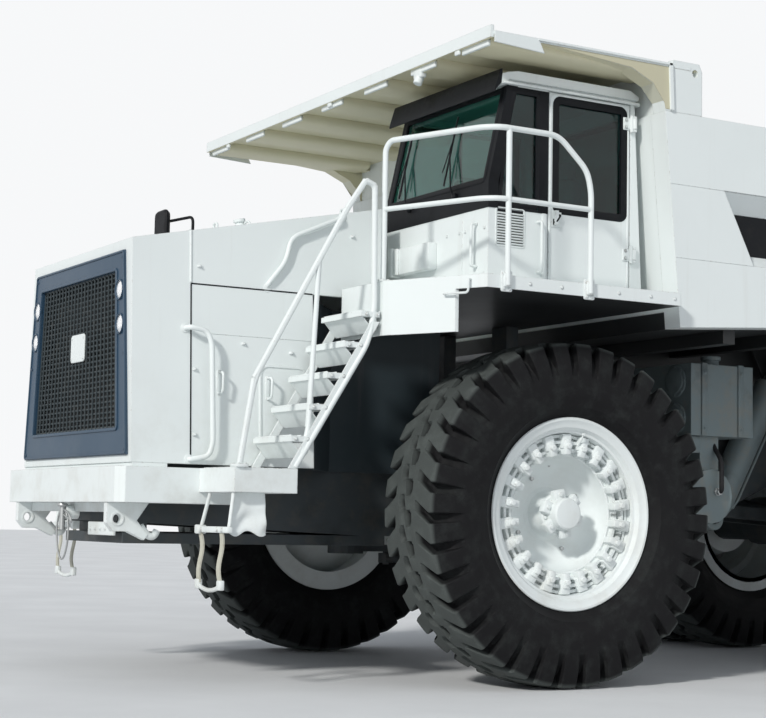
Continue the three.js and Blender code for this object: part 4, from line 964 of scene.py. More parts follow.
class TRUCK_OT_front_wheels(bpy.types.Operator):
    """Front rims: barrel, dished disc, ring of wedge clamps, hub with bolts and a smooth cap"""
    bl_idname = "truck.front_wheels"
    bl_label = "Front wheels"

    def execute(self, context):
        size = sizes()
        barrel = lathe([(-RIM_HALF, 0.56), (-RIM_HALF, 0.724), (-RIM_HALF + 0.012, 0.727),
            (-RIM_HALF + 0.024, 0.716), (-0.252, 0.654), *FLANGE, (0.262, 0.664), (0.258, 0.65),
            (0.24, 0.64), (0.226, 0.63), (0.222, 0.612), (0.14, 0.604), (0.13, 0.598), (0.13, 0.462),
            (0.136, 0.452), (0.13, 0.44), (0.08, 0.432), (0.02, 0.408), (-0.03, 0.366), (-0.062, 0.315),
            (-0.074, 0.26), (-0.07, 0.205), (-0.05, 0.178), (-0.01, 0.165), (0.05, 0.158), (0.05, 0.131),
            (-0.214, 0.131), (-0.214, 0.25), (-0.15, 0.33), (0.04, 0.6)], sides=96, closed=True)
        hub = joined(lathe([(0.046, 0), (0.046, 0.16), (0.1, 0.158), (0.112, 0.15), (0.112, 0)], sides=64),
            lathe([(0.105, 0), (0.105, 0.124), (0.2, 0.122), (0.222, 0.118), (0.232, 0.106), (0.237, 0.06),
                (0.237, 0)], sides=48))
        ring_bolt = lathe([(-0.06, 0), (-0.06, 0.016), (-0.04, 0.016), (-0.036, 0)], (0, 0, 0.3), sides=6)
        hub_bolt = lathe([(0.108, 0), (0.108, 0.013), (0.124, 0.013), (0.128, 0.009), (0.128, 0)],
            (0, 0, 0.136), sides=6)
        lug = joined(block((0.1, -0.048, 0.1), (0.168, 0.048, 0.184), 0.012),
            lathe([(0.16, 0), (0.16, 0.017), (0.18, 0.017), (0.184, 0)], (0, 0, 0.15), sides=6))
        valve = joined(tube([(0.06, 0.09, 0.42), (0.15, 0.1, 0.46), (0.235, 0.11, 0.56), (0.25, 0.118, 0.6)],
                0.007, 0.03, 8),
            lathe([(0.24, 0), (0.24, 0.012), (0.262, 0.012), (0.264, 0)], (0, 0.118, 0.6), sides=10))
        for side, sign in SIDES:
            centre = (sign * FRONT_AXLE[0], FRONT_AXLE[1], FRONT_AXLE[2])
            body = f"front_wheel_{side}"
            rim = piece(f"front_wheel_rim_{side}", on_axle(joined(barrel, hub), centre, sign), "rim paint",
                body, 28)
            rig.replaces(rim, f"front_rim_{side}")
            extras = joined(clamp_ring(centre, 0.136, sign, size.clamps),
                ring_of(hub_bolt, centre, sign, size.hub_bolts),
                ring_of(lug, centre, sign, 6, 0.2),
                on_axle(valve, centre, sign))
            piece(f"front_wheel_clamps_{side}", extras, "rim paint", body, 32)
            marks = ring_of(lathe([(0.0, 0), (0.0, 0.012), (0.004, 0.012), (0.004, 0)], (-0.03, 0, 0.368),
                sides=8), centre, sign, 1)
            marks.take(ring_of(ring_bolt, centre, sign, 4, 0.5))
            piece(f"front_wheel_plugs_{side}", marks, "galvanised", body, 32, slot="white_paint")
        return {"FINISHED"}


class TRUCK_OT_rear_wheels(bpy.types.Operator):
    """Rear rims in pairs: two barrels, clamps, spacer and the geared hub with its covers"""
    bl_idname = "truck.rear_wheels"
    bl_label = "Rear wheels"

    def execute(self, context):
        size = sizes()
        spread = (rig.box("rear_tyre_outer_left")[0].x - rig.box("rear_tyre_inner_left")[0].x) / 2
        barrels = Shape()
        for offset in (-spread, spread):
            barrels.take(lathe([(offset - RIM_HALF, 0.59), (offset - RIM_HALF, 0.724),
                (offset - RIM_HALF + 0.024, 0.716), (offset - 0.252, 0.654), *[(offset + along, radius)
                for along, radius in FLANGE], (offset + 0.26, 0.652), (offset + 0.226, 0.634),
                (offset - RIM_HALF, 0.634)], sides=96, closed=True))
        spacer = lathe([(-spread + RIM_HALF - 0.05, 0.56), (-spread + RIM_HALF - 0.05, 0.636),
            (spread - RIM_HALF + 0.05, 0.636), (spread - RIM_HALF + 0.05, 0.56)], sides=72, closed=True)
        hub = joined(lathe([(-0.33, 0.205), (-0.33, 0.33), (0.12, 0.42), (0.24, 0.56), (0.24, 0.638),
                (0.32, 0.638), (0.335, 0.62), (0.335, 0.56), (0.325, 0.47), (0.33, 0.405), (0.36, 0.398),
                (0.5, 0.38), (0.556, 0.366), (0.566, 0.35), (0.566, 0.262), (0.575, 0.25), (0.622, 0.244),
                (0.636, 0.232), (0.638, 0.1), (0.638, 0.0), (0.47, 0.0), (0.47, 0.205)], sides=72),
            lathe([(0.634, 0), (0.634, 0.085), (0.641, 0.08), (0.641, 0)], sides=32))
        cover_bolt = lathe([(0.56, 0), (0.56, 0.016), (0.58, 0.016), (0.583, 0)], (0, 0, 0.306), sides=6)
        cap_bolt = lathe([(0.63, 0), (0.63, 0.013), (0.6405, 0.013), (0.641, 0)], (0, 0, 0.19), sides=6)
        rib = block((0.335, -0.012, 0.385), (0.5, 0.012, 0.44), 0.005)
        for side, sign in SIDES:
            centre = (sign * REAR_AXLE[0], REAR_AXLE[1], REAR_AXLE[2])
            body = f"rear_wheels_{side}"
            rim = piece(f"rear_wheel_rims_{side}", on_axle(joined(barrels, spacer, hub), centre, sign),
                "rim paint", body, 28)
            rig.replaces(rim, f"rear_rim_{side}")
            outer = (sign * (REAR_AXLE[0] + spread), REAR_AXLE[1], REAR_AXLE[2])
            extras = joined(clamp_ring(outer, -0.075, sign, size.clamps),
                ring_of(cover_bolt, centre, sign, 16),
                ring_of(cap_bolt, centre, sign, 8),
                ring_of(rib, centre, sign, 10))
            piece(f"rear_wheel_clamps_{side}", extras, "rim paint", body, 32)
        return {"FINISHED"}


# ---------------------------------------------------------------- front end
DECK_TOP = 2.979         # heights of the decks and of the platforms beside the stairs
PLATFORM_TOP = 1.576
GRILLE_FACE = -3.148     # front of the grille surround, from the front axle's line


def strip(corners, normal, width, height, bend=0.04, sunk=0.004):
    """Flat strip laid round a closed outline on a face: a section with bevelled edges whose first axis
    points outwards in the face and whose second is the face's normal."""
    n = basis(normal)[2]
    corners = [np.asarray(corner, float) for corner in corners]
    start = (corners[-1] + corners[0]) / 2
    path = rounded_path([start, *corners, start], bend)[:-1]
    along = np.roll(path, -1, 0) - np.roll(path, 1, 0)
    along /= np.linalg.norm(along, axis=1)[:, None]
    out = np.cross(along, n)
    section = np.array([(-width / 2, -sunk), (width / 2, -sunk), (width / 2, height * 0.6),
        (width * 0.34, height), (-width * 0.34, height), (-width / 2, height * 0.6)])
    rows = path[:, None] + section[None, :, :1] * out[:, None] + section[None, :, 1:] * n
    return Shape().grid(rows, wrap_u=True)


def pipe(places, radius, bend=0.08, sides=14):
    """Round tube through places given from the front axle's line."""
    return tube([truck(*place) for place in places], radius, bend, sides)


def rod(start, end, radius, sides=10):
    """Straight round bar between two places given from the front axle's line."""
    return pipe([start, end], radius, sides=sides)


def slanted(x, y, z, half, slant):
    """One raised bar of a tread plate, which slants to one side."""
    return rod((x - half, y - slant, z), (x + half, y + slant, z), 0.0045, 5)


def boxed(x, y, z, radius=0.006):
    """Rounded box between two places along each axis, given from the front axle's line."""
    return block(truck(x[0], y[0], z[0]), truck(x[1], y[1], z[1]), radius)


class TRUCK_OT_grille(bpy.types.Operator):
    """Wire mesh, edge strips, blank plate and four headlamps"""
    bl_idname = "truck.grille"
    bl_label = "Grille and headlamps"

    def execute(self, context):
        size = sizes()
        low, high = 1.86, 3.015
        reach = lambda z: 0.898 - 0.085 * (z - low)
        wires = Shape()
        rows = round((high - low) / size.mesh_row)
        for step in range(1, rows):
            z = low + (high - low) * step / rows
            wires.take(rod((-reach(z), -3.1165, z), (reach(z), -3.1165, z), size.mesh_wire, 6))
        columns = round(2 * reach(low) / size.mesh_column)
        for step in range(1, columns):
            x = -1 + 2 * step / columns
            wires.take(rod((x * reach(low), -3.1235, low), (x * reach(high), -3.1235, high), size.mesh_wire,
                6))
        corners = [truck(-reach(low), -3.12, low), truck(reach(low), -3.12, low),
            truck(reach(high), -3.12, high), truck(-reach(high), -3.12, high)]
        wires.take(strip(corners, AHEAD, 0.03, 0.006, 0.02, 0.006))
        mesh = piece("grille_wire_mesh", wires, "black mesh", sharp=30)
        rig.replaces(mesh, "grille_mesh")
        edge = [truck(x * (0.914 - 0.085 * (z - low)), GRILLE_FACE, z) for x, z in ((-1, low - 0.012),
            (1, low - 0.012), (1, high + 0.012), (-1, high + 0.012))]
        surround = strip(edge, AHEAD, 0.024, 0.01, 0.03)
        outer = [truck(x * (1.096 - 0.1095 * (z - 1.66)), GRILLE_FACE, z)
            for x, z in ((-1, 1.672), (1, 1.672), (1, 3.148), (-1, 3.148))]
        surround.take(strip(outer, AHEAD, 0.014, 0.008, 0.02))
        piece("grille_edging", surround, "slate paint", sharp=30)
        heads = [truck(side * (1.072 - 0.1095 * (z - 1.66)), GRILLE_FACE - 0.001, z) for side in (-1, 1)
            for z in (1.7, 2.4, 3.11)]
        piece("grille_bolts", bolts(heads, AHEAD, 0.009, 0.006), "slate paint", sharp=30)
        blank = plate(rounded_rectangle(0.29, 0.215, 0.03), truck(0.03, -3.131, 2.5), AHEAD, LEFT, 0.012)
        blank.take(bolts([truck(0.03 + x, -3.142, z) for x in (-0.12, 0.12) for z in (2.42, 2.58)], AHEAD,
            0.007, 0.004))
        piece("grille_blank_plate", blank, sharp=30)
        self.lamps(size)
        return {"FINISHED"}

    def lamps(self, size):
        """Sealed lamps: a bezel ring, a bowl as deep as the square of its radius, and a domed lens."""
        r = size.lamp
        rings, bowls, lenses = Shape(), Shape(), Shape()
        t = np.linspace(0, 1, 7)
        dome = [(0.004 + 0.01 * (1 - s * s), r * 0.84 * s) for s in t]
        bowl = [(0.001 + 0.003 * s * s, r * 0.84 * s) for s in t]
        for x, z in ((0.889, 2.869), (0.914, 2.615)):
            for side in (-1, 1):
                place = truck(side * x, GRILLE_FACE, z)
                rings.take(lathe([(-0.004, r * 0.84), (-0.004, r), (0.008, r), (0.014, r * 0.96),
                    (0.014, r * 0.9), (0.007, r * 0.84)], place, AHEAD, 40, closed=True))
                bowls.take(lathe([(-0.002, 0), *bowl, (-0.002, r * 0.84)], place, AHEAD, 32))
                lenses.take(lathe([*dome, (0.0055, r * 0.84), *[(a - 0.003, b) for a, b in dome[::-1]][1:]],
                    place, AHEAD, 32))
        piece("headlamp_rings", rings, "slate paint", sharp=30)
        piece("headlamp_bowls", bowls, "reflector", sharp=40)
        piece("headlamp_lenses", lenses, "lamp lens", sharp=40)


def hood_side(z):
    """Half width of the hood and radiator housing at a height."""
    return 1.15 - 0.0612 * (z - 1.605)


def hood_top(y):
    """Height of the hood's top at a place behind the front axle's line."""
    return 3.24 + 0.205 * (y + 3.13)


class TRUCK_OT_hood(bpy.types.Operator):
    """Grab rails, latches, lugs, filler neck, lifting loops and seam strips of the hood"""
    bl_idname = "truck.hood"
    bl_label = "Hood fittings"

    def execute(self, context):
        rails = pipe([(1.045, -2.04, 2.955), (1.085, -2.035, 2.99), (1.082, -1.895, 3.167),
            (1.075, -1.848, 3.356), (1.068, -1.42, 3.55), (1.02, -1.383, 3.567)], 0.0185, 0.07)
        handle = pipe([(1.085, -2.71, 2.6), (1.16, -2.7, 2.604), (1.17, -2.57, 2.585), (1.185, -2.535, 2.49),
            (1.215, -2.52, 1.76), (1.205, -2.545, 1.665), (1.165, -2.67, 1.64), (1.145, -2.68, 1.64)],
            0.0195, 0.07)
        pads = Shape()
        for x, y, z in ((1.086, -2.71, 2.6), (1.146, -2.68, 1.64), (1.062, -2.04, 2.955),
                (1.026, -1.383, 3.567)):
            pads.take(lathe([(-0.01, 0), (-0.01, 0.036), (0.006, 0.036), (0.009, 0.03), (0.009, 0)],
                truck(x, y, z), (1, 0, 0.06), 24))
        piece("hood_grab_rails", both(joined(rails, handle, pads)))
        self.latches()
        self.seams()
        return {"FINISHED"}

    def latches(self):
        """Pull latches and hinge lugs on the sides, filler neck and lifting loops on the top."""
        made = Shape()
        for y, z in ((-2.44, 2.21), (-2.04, 2.19)):
            x = hood_side(z)
            made.take(boxed((x - 0.004, x + 0.006), (y - 0.02, y + 0.02), (z - 0.095, z + 0.095), 0.003),
                pipe([(x, y, z - 0.08), (x + 0.075, y, z - 0.074), (x + 0.08, y, z + 0.074),
                    (x, y, z + 0.08)], 0.01, 0.03, 10))
        for y, z in ((-2.635, 2.3), (-2.635, 1.82), (-2.24, 2.515), (-1.84, 2.47), (-2.6, 3.07),
                (-1.3, 3.42)):
            x = hood_side(z)
            made.take(boxed((x - 0.004, x + 0.014), (y - 0.016, y + 0.016), (z - 0.011, z + 0.011), 0.005),
                lathe([(0, 0), (0, 0.007), (0.022, 0.007), (0.025, 0.004), (0.025, 0)], truck(x, y, z), LEFT,
                    10))
        piece("hood_latches", both(made))
        neck = truck(0.905, -2.2, hood_top(-2.2) - 0.012)
        filler = joined(lathe([(0, 0), (0, 0.052), (0.012, 0.052), (0.014, 0.036), (0.04, 0.034),
                (0.044, 0.046), (0.064, 0.046), (0.068, 0.04), (0.068, 0)], neck, (0, -0.2, 1), 28),
            tube([neck + [0.03, 0.02, 0.03], neck + [0.075, 0.03, 0.05], neck + [0.08, 0.05, 0.01]], 0.008,
                0.02, 8))
        for x in (-0.78, 0.78):
            for y in (-2.35, -1.25):
                base = truck(x, y, hood_top(y) - 0.006)
                filler.take(plate(rounded_rectangle(0.1, 0.07, 0.012), base, (0, -0.2, 1), LEFT, 0.012),
                    tube([base + [-0.03, 0, 0.005], base + [-0.03, 0, 0.06], base + [0.03, 0, 0.06],
                        base + [0.03, 0, 0.005]], 0.01, 0.02, 10))
        piece("hood_top_fittings", filler)

    def seams(self):
        """Dark gaps and raised strips at the seams, and the folded edge round the side's air opening."""
        made = Shape()
        made.take(rod((hood_side(2.945) + 0.001, -2.668, 2.945), (hood_side(3.335) + 0.001, -2.668, 3.335),
                0.009, 8),
            rod((hood_side(2.57), -2.5, 2.572), (hood_side(2.57), -1.67, 2.572), 0.0025, 6))
        gap = joined(rod((hood_side(1.62), -2.665, 1.62), (hood_side(2.935), -2.665, 2.935), 0.0055, 8),
            rod((hood_side(2.935), -2.665, 2.936), (hood_side(2.935), -1.655, 2.936), 0.0055, 8))
        piece("hood_seam_gaps", both(gap), "black trim", sharp=40)
        corners = [truck(hood_side(z) + 0.0005, y, z) for y, z in ((-1.71, 1.7), (-2.1, 1.7), (-2.1, 2.36),
            (-1.71, 2.36))]
        made.take(strip(corners, (1, 0, 0.0612), 0.022, 0.007, 0.08))
        across = [truck(x, -2.668, hood_top(-2.668) + 0.001) for x in (-1.03, 1.03)]
        piece("hood_seam_strips", both(made).take(tube(across, 0.008, sides=8)))


# ---------------------------------------------------------------- bumper
class TRUCK_OT_bumper(bpy.types.Operator):
    """Tow pin with its wire ring, tow hook toes, platform tread and the hanging boarding steps"""
    bl_idname = "truck.bumper"
    bl_label = "Bumper fittings"

    def execute(self, context):
        ring = [truck(0.07 * math.sin(a) * (1 - 0.25 * math.cos(a)), -3.2 + 0.02 * math.sin(a),
            1.075 - 0.19 * math.cos(a)) for a in np.linspace(0, TAU, 40, endpoint=False)]
        pin = joined(tube(ring, 0.0075, sides=8, closed=True),
            rod((0, -3.205, 1.11), (0, -3.205, 1.3), 0.022),
            lathe([(0, 0), (0, 0.036), (0.01, 0.04), (0.024, 0.036), (0.03, 0.0)], truck(0, -3.205, 1.285),
                UP, 24),
            pipe([(0.02, -3.2, 1.26), (0.16, -3.215, 1.24), (0.2, -3.2, 1.16), (0.13, -3.19, 1.19),
                (0.02, -3.2, 1.22)], 0.008, 0.05, 8))
        piece("tow_pin_and_ring", pin, "galvanised")
        toes = Shape()
        for side in (-1, 1):
            x = side * 0.97
            toes.take(pipe([(x, -2.965, 1.15), (x, -2.905, 1.08), (x, -2.86, 1.075), (x, -2.835, 1.12)],
                    0.027, 0.05, 12),
                lathe([(-0.034, 0.036), (-0.034, 0.052), (0.034, 0.052), (0.034, 0.036)],
                    truck(x, -3.155, 1.2), LEFT, 32, closed=True))
        toes.take(boxed((0.1, 0.62), (-3.035, -3.012), (1.075, 1.175), 0.006),
            bolts([truck(x, -3.034, 1.125) for x in np.linspace(0.16, 0.56, 5)], AHEAD, 0.012, 0.01))
        piece("tow_hook_toes", toes)
        self.treads()
        for side, sign in SIDES:
            self.step(side, sign)
        return {"FINISHED"}

    def treads(self):
        """Raised diamonds on the platforms: short bars that lean left and right by turns."""
        made = Shape()
        for row, x in enumerate(np.arange(1.24, 1.76, 0.058)):
            for column, y in enumerate(np.arange(-2.585, -2.165, 0.058)):
                if 1.67 < x < 1.81 and y < -2.5:
                    continue
                lean = 1 if (row + column) % 2 else -1
                made.take(slanted(x, y, PLATFORM_TOP + 0.0005, 0.016, 0.016 * lean))
        for row, x in enumerate(np.arange(-1.12, 1.15, 0.07)):
            lean = 1 if row % 2 else -1
            made.take(slanted(x, -3.19, PLATFORM_TOP, 0.018, 0.014 * lean))
        piece("platform_tread", both(made), sharp=40)

    def step(self, side, sign):
        """Boarding step under the platform's front edge: a frame of rods, two flexible straps that bow by a
        sine, a sagging lowest rung, and behind it a splash plate beaten into waves."""
        metal = Shape()
        for top, foot in ((1.35, 1.275), (1.735, 1.745)):
            metal.take(rod((sign * top, -2.59, 1.404), (sign * foot, -2.625, 1.14), 0.014, 10))
        metal.take(boxed((sign * 1.24, sign * 1.765), (-2.65, -2.6), (1.115, 1.16), 0.01),
            boxed((sign * 1.235, sign * 1.3), (-2.66, -2.59), (1.105, 1.17), 0.01),
            bolts([truck(sign * x, -2.651, 1.137) for x in (1.27, 1.33, 1.6, 1.68)], AHEAD, 0.011, 0.008))
        sag = np.linspace(-1, 1, 17)
        rung = np.stack([sign * (1.455 + 0.185 * sag), np.full(17, -2.63 + AXLE_Y),
            0.745 - 0.035 * (1 - sag ** 2)], 1)
        metal.grid(carried(rung, circle(0.016, 10)))
        for x in (1.27, 1.64):
            metal.take(boxed((sign * (x - 0.034), sign * (x + 0.034)), (-2.648, -2.612), (0.715, 0.785),
                0.008))
        piece(f"boarding_step_{side}", metal)
        straps = Shape()
        t = np.linspace(0, 1, 16)
        for x, bow in ((1.28, 0.02), (1.64, -0.016)):
            path = np.stack([sign * (x + bow * np.sin(math.pi * t)), -2.63 + AXLE_Y + 0.012
                * np.sin(TAU * t), 1.12 - 0.36 * t], 1)
            section = np.array([(-0.026, -0.006, 0), (0.026, -0.006, 0), (0.026, 0.006, 0),
                (-0.026, 0.006, 0)])
            straps.grid(path[:, None] + section[None])
        piece(f"step_straps_{side}", straps, "strap webbing", sharp=40)
        u, v = np.meshgrid(np.linspace(0, 1, 22), np.linspace(0, 1, 22), indexing="ij")
        wave = 0.016 * np.sin(7.0 * u + 2.0 * v) * v + 0.01 * np.sin(13.0 * v + 5.0 * u) * v
        face = np.stack([sign * (1.7 + wave + 0.03 * v), -2.59 + AXLE_Y + 0.26 * u - 0.03 * v * (1 - u),
            1.403 - 0.29 * v - 0.02 * np.sin(9 * u) * v], -1)
        back = face - [sign * 0.006, 0, 0]
        edge = lambda grid: np.concatenate([grid[:-1, 0], grid[-1, :-1], grid[:0:-1, -1], grid[0, :0:-1]])
        flap = Shape().grid(face, wrap_v=False, caps=False).grid(back, wrap_v=False, caps=False)
        flap.grid([edge(face), edge(back)], caps=False)
        piece(f"splash_plate_{side}", flap, sharp=40)


# ---------------------------------------------------------------- stairs and rails
def base_plate(place, normal, along, width, height):
    """Bolted foot of a post: a plate with four bolts."""
    n = basis(normal)[2]
    a = np.asarray(along, float)
    b = np.cross(n, a)
    made = plate(rounded_rectangle(width, height, 0.012), np.asarray(place) - n * 0.002, normal, along,
        0.014)
    spots = [np.asarray(place) + n * 0.012 + a * u * (width / 2 - 0.022) + b * v * (height / 2 - 0.022)
        for u in (-1, 1) for v in (-1, 1)]
    return made.take(bolts(spots, normal, 0.009, 0.008))


class TRUCK_OT_stairs(bpy.types.Operator):
    """Round handrails, tread grips, risers and bolts of the two stairs"""
    bl_idname = "truck.stairs"
    bl_label = "Stairs"

    def execute(self, context):
        size = sizes()
        made = Shape()
        rail = [(1.75, -2.56, 1.59), (1.75, -2.46, 2.205), (1.75, -1.745, 3.49), (1.75, -1.59, 3.72),
            (1.75, -1.512, 3.69), (1.762, -1.506, 2.76), (1.78, -1.56, 2.52), (1.78, -2.14, 1.585)]
        made.take(pipe(rail, size.tube * 0.9, 0.1, 16),
            pipe([(1.776, -2.09, 1.69), (1.765, -2.03, 1.86), (1.752, -1.966, 3.088)], 0.0185, 0.12, 12),
            boxed((1.688, 1.812), (-2.603, -2.517), (PLATFORM_TOP, 1.6), 0.004),
            bolts([truck(x, y, 1.599) for x in (1.705, 1.795) for y in (-2.585, -2.535)], UP, 0.009, 0.009))
        piece("stair_handrails", both(made), sharp=40)
        grip = Shape()
        rise, slope, depth = 0.23417, 1.675, 0.165
        for step in range(1, 6):
            z = PLATFORM_TOP + rise * step
            rear = -2.126 + (z - 0.04 - 1.5763) / slope
            front = rear - depth
            for x in np.arange(1.205, 1.765, 0.034):
                grip.take(rod((x, front + 0.012, z + 0.001), (x, rear - 0.012, z + 0.001), 0.0055, 6))
            riser = [(front + 0.004, z - 0.036), (front + 0.01, z - 0.036), (front + 0.116, z - 0.146),
                (front + 0.11, z - 0.15)]
            grip.grid([[truck(x, y, h) for y, h in riser] for x in (1.186, 1.77)])
            for y in (front + 0.008, (front + rear) / 2, rear - 0.01):
                grip.take(boxed((1.186, 1.77), (y - 0.005, y + 0.005), (z - 0.004, z + 0.01), 0.002))
            grip.take(bolts([truck(1.79, front + d, z - 0.02) for d in (0.035, 0.13)], LEFT, 0.01, 0.008))
        piece("stair_treads", both(grip), sharp=40)
        return {"FINISHED"}


RAIL_X = 2.6232     # middle of the outer guard rails' tubes


class TRUCK_OT_rails(bpy.types.Operator):
    """Round guard rails with bent corners, knee rails, posts and bolted feet"""
    bl_idname = "truck.rails"
    bl_label = "Guard rails"

    def execute(self, context):
        for side, sign in SIDES:
            top = 4.04 if sign > 0 else 3.78
            line = [(1.73, -1.414, 2.981), (1.73, -1.414, top - 0.06), (1.77, -1.394, top),
                (2.534, -1.087, top), (RAIL_X, -0.987, top), (RAIL_X, -0.48, top), (RAIL_X, -0.22, 3.81),
                (RAIL_X, -0.181, 3.66), (RAIL_X, -0.181, 2.903)]
            shape = pipe([(sign * x, y, z) for x, y, z in line], 0.0215, 0.085, 16)
            knee = 3.525 + (top - 4.04) * 0.5
            shape.take(pipe([(sign * x, y, knee) for x, y in ((1.73, -1.414), (2.534, -1.087),
                    (RAIL_X, -0.987), (RAIL_X, -0.181))], 0.0195, 0.085, 14),
                rod((sign * RAIL_X, -0.911, 2.903), (sign * RAIL_X, -0.911, top), 0.0215, 16))
            for y in (-0.911, -0.181):
                shape.take(base_plate(truck(sign * 2.602, y, 2.935), (sign, 0, 0), BEHIND, 0.095, 0.15),
                    boxed((sign * 2.604, sign * 2.634), (y - 0.03, y + 0.03), (2.893, 2.99), 0.005))
                for z in (2.905, 2.965):
                    shape.take(bolts([truck(sign * 2.634, y, z)], (sign, 0, 0), 0.0085, 0.006))
            shape.take(base_plate(truck(sign * 1.73, -1.414, 2.981), UP, LEFT, 0.11, 0.09))
            made = piece(f"round_guard_rail_{side}", shape, sharp=40)
            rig.replaces(made, f"guard_rail_{side}")
        return {"FINISHED"}


class TRUCK_OT_decks(bpy.types.Operator):
    """Deck tread, edge bolts and corner handles, and the lockers, air filters and mirror of the far deck"""
    bl_idname = "truck.decks"
    bl_label = "Decks"

    def execute(self, context):
        grip = Shape()
        for x0, x1, y0, y1 in ((1.72, 2.56, -1.0, -0.8), (2.24, 2.57, -0.78, 0.62),
                (-2.56, -1.72, -1.0, -0.8)):
            for row, x in enumerate(np.arange(x0, x1, 0.062)):
                for column, y in enumerate(np.arange(y0, y1, 0.062)):
                    lean = 1 if (row + column) % 2 else -1
                    grip.take(slanted(x, y, DECK_TOP + 0.0025, 0.017, 0.017 * lean))
        piece("deck_tread", grip, sharp=40)
        trim = Shape()
        trim.take(bolts([truck(2.6, y, 2.932) for y in (-0.7, -0.42, 0.1, 0.4, 0.63)], LEFT, 0.01, 0.008),
            pipe([(2.285, -1.214, 2.85), (2.3, -1.2475, 2.85), (2.491, -1.1575, 2.846),
                (2.491, -1.1575, 2.944), (2.476, -1.124, 2.944)], 0.009, 0.03, 10))
        piece("deck_edge_fittings", both(trim))
        boxes = Shape()
        boxes.take(boxed((-2.42, -1.72), (-0.7, -0.06), (DECK_TOP, 3.42), 0.02),
            boxed((-2.44, -1.7), (-0.72, -0.04), (3.42, 3.455), 0.012),
            boxed((-2.4, -1.2), (0.06, 0.6), (DECK_TOP, 3.3), 0.02),
            boxed((-2.41, -1.19), (0.05, 0.61), (3.3, 3.325), 0.01))
        for x in (-2.25, -1.88):
            boxes.take(pipe([(x, -0.722, 3.24), (x, -0.755, 3.24), (x, -0.755, 3.12), (x, -0.722, 3.12)],
                    0.008, 0.02, 8),
                boxed((x - 0.03, x + 0.03), (-0.732, -0.715), (3.36, 3.44), 0.004))
        for y in np.linspace(-0.6, -0.16, 6):
            boxes.take(boxed((-2.432, -2.418), (y - 0.028, y + 0.028), (3.05, 3.32), 0.004))
        boxes.take(bolts([truck(x, 0.052, z) for x in (-2.3, -1.9, -1.5) for z in (3.04, 3.26)], AHEAD, 0.01,
            0.008))
        piece("far_deck_boxes", boxes)
        tanks = Shape()
        for x in (-1.42, -1.02):
            tanks.take(lathe([(0, 0), (0, 0.15), (0.02, 0.165), (0.62, 0.165), (0.64, 0.155), (0.64, 0.172),
                    (0.7, 0.172), (0.72, 0.15), (0.735, 0)], truck(x, -0.4, 2.978), UP, 40),
                pipe([(x, -0.55, 3.1), (x, -0.74, 3.1), (x, -0.74, 2.985)], 0.045, 0.1, 14))
            for z in (3.1, 3.48):
                tanks.take(lathe([(0, 0.16), (0, 0.17), (0.03, 0.17), (0.03, 0.16)], truck(x, -0.4, z), UP,
                    40, closed=True))
        piece("air_filters", tanks)
        self.mirrors()
        return {"FINISHED"}

    def mirrors(self):
        """Rear-view mirror of the far deck: a rounded shell on a round arm, its bright face looking back."""
        arms, shells, faces = Shape(), Shape(), Shape()
        top = truck(-2.36, -1.47, 3.9)
        arms.take(tube([truck(-1.96, -1.325, 3.0), truck(-1.96, -1.325, 4.0), top + [-0.05, 0.05, 0.1],
            top + [0, 0.045, 0.02], top + [0, 0.045, -0.1]], 0.014, 0.06, 12))
        shells.take(plate(rounded_rectangle(0.27, 0.4, 0.06, 6), top + [0, 0.03, 0], AHEAD, LEFT, 0.05,
            0.016))
        faces.take(plate(rounded_rectangle(0.24, 0.37, 0.05, 6), top + [0, 0.034, 0], BEHIND, LEFT, 0.002,
            0.0005))
        piece("mirror_arms", arms, "black trim", sharp=40)
        piece("mirror_shells", shells, "black trim", sharp=40)
        piece("mirror_faces", faces, "reflector", sharp=40)


# ---------------------------------------------------------------- cab
def cab_front(z):
    """Place of the cab's front face behind the axle's line at a height: upright, then leaning back."""
    return -0.781 + max(0.0, z - 3.752) * 0.172 / 0.776


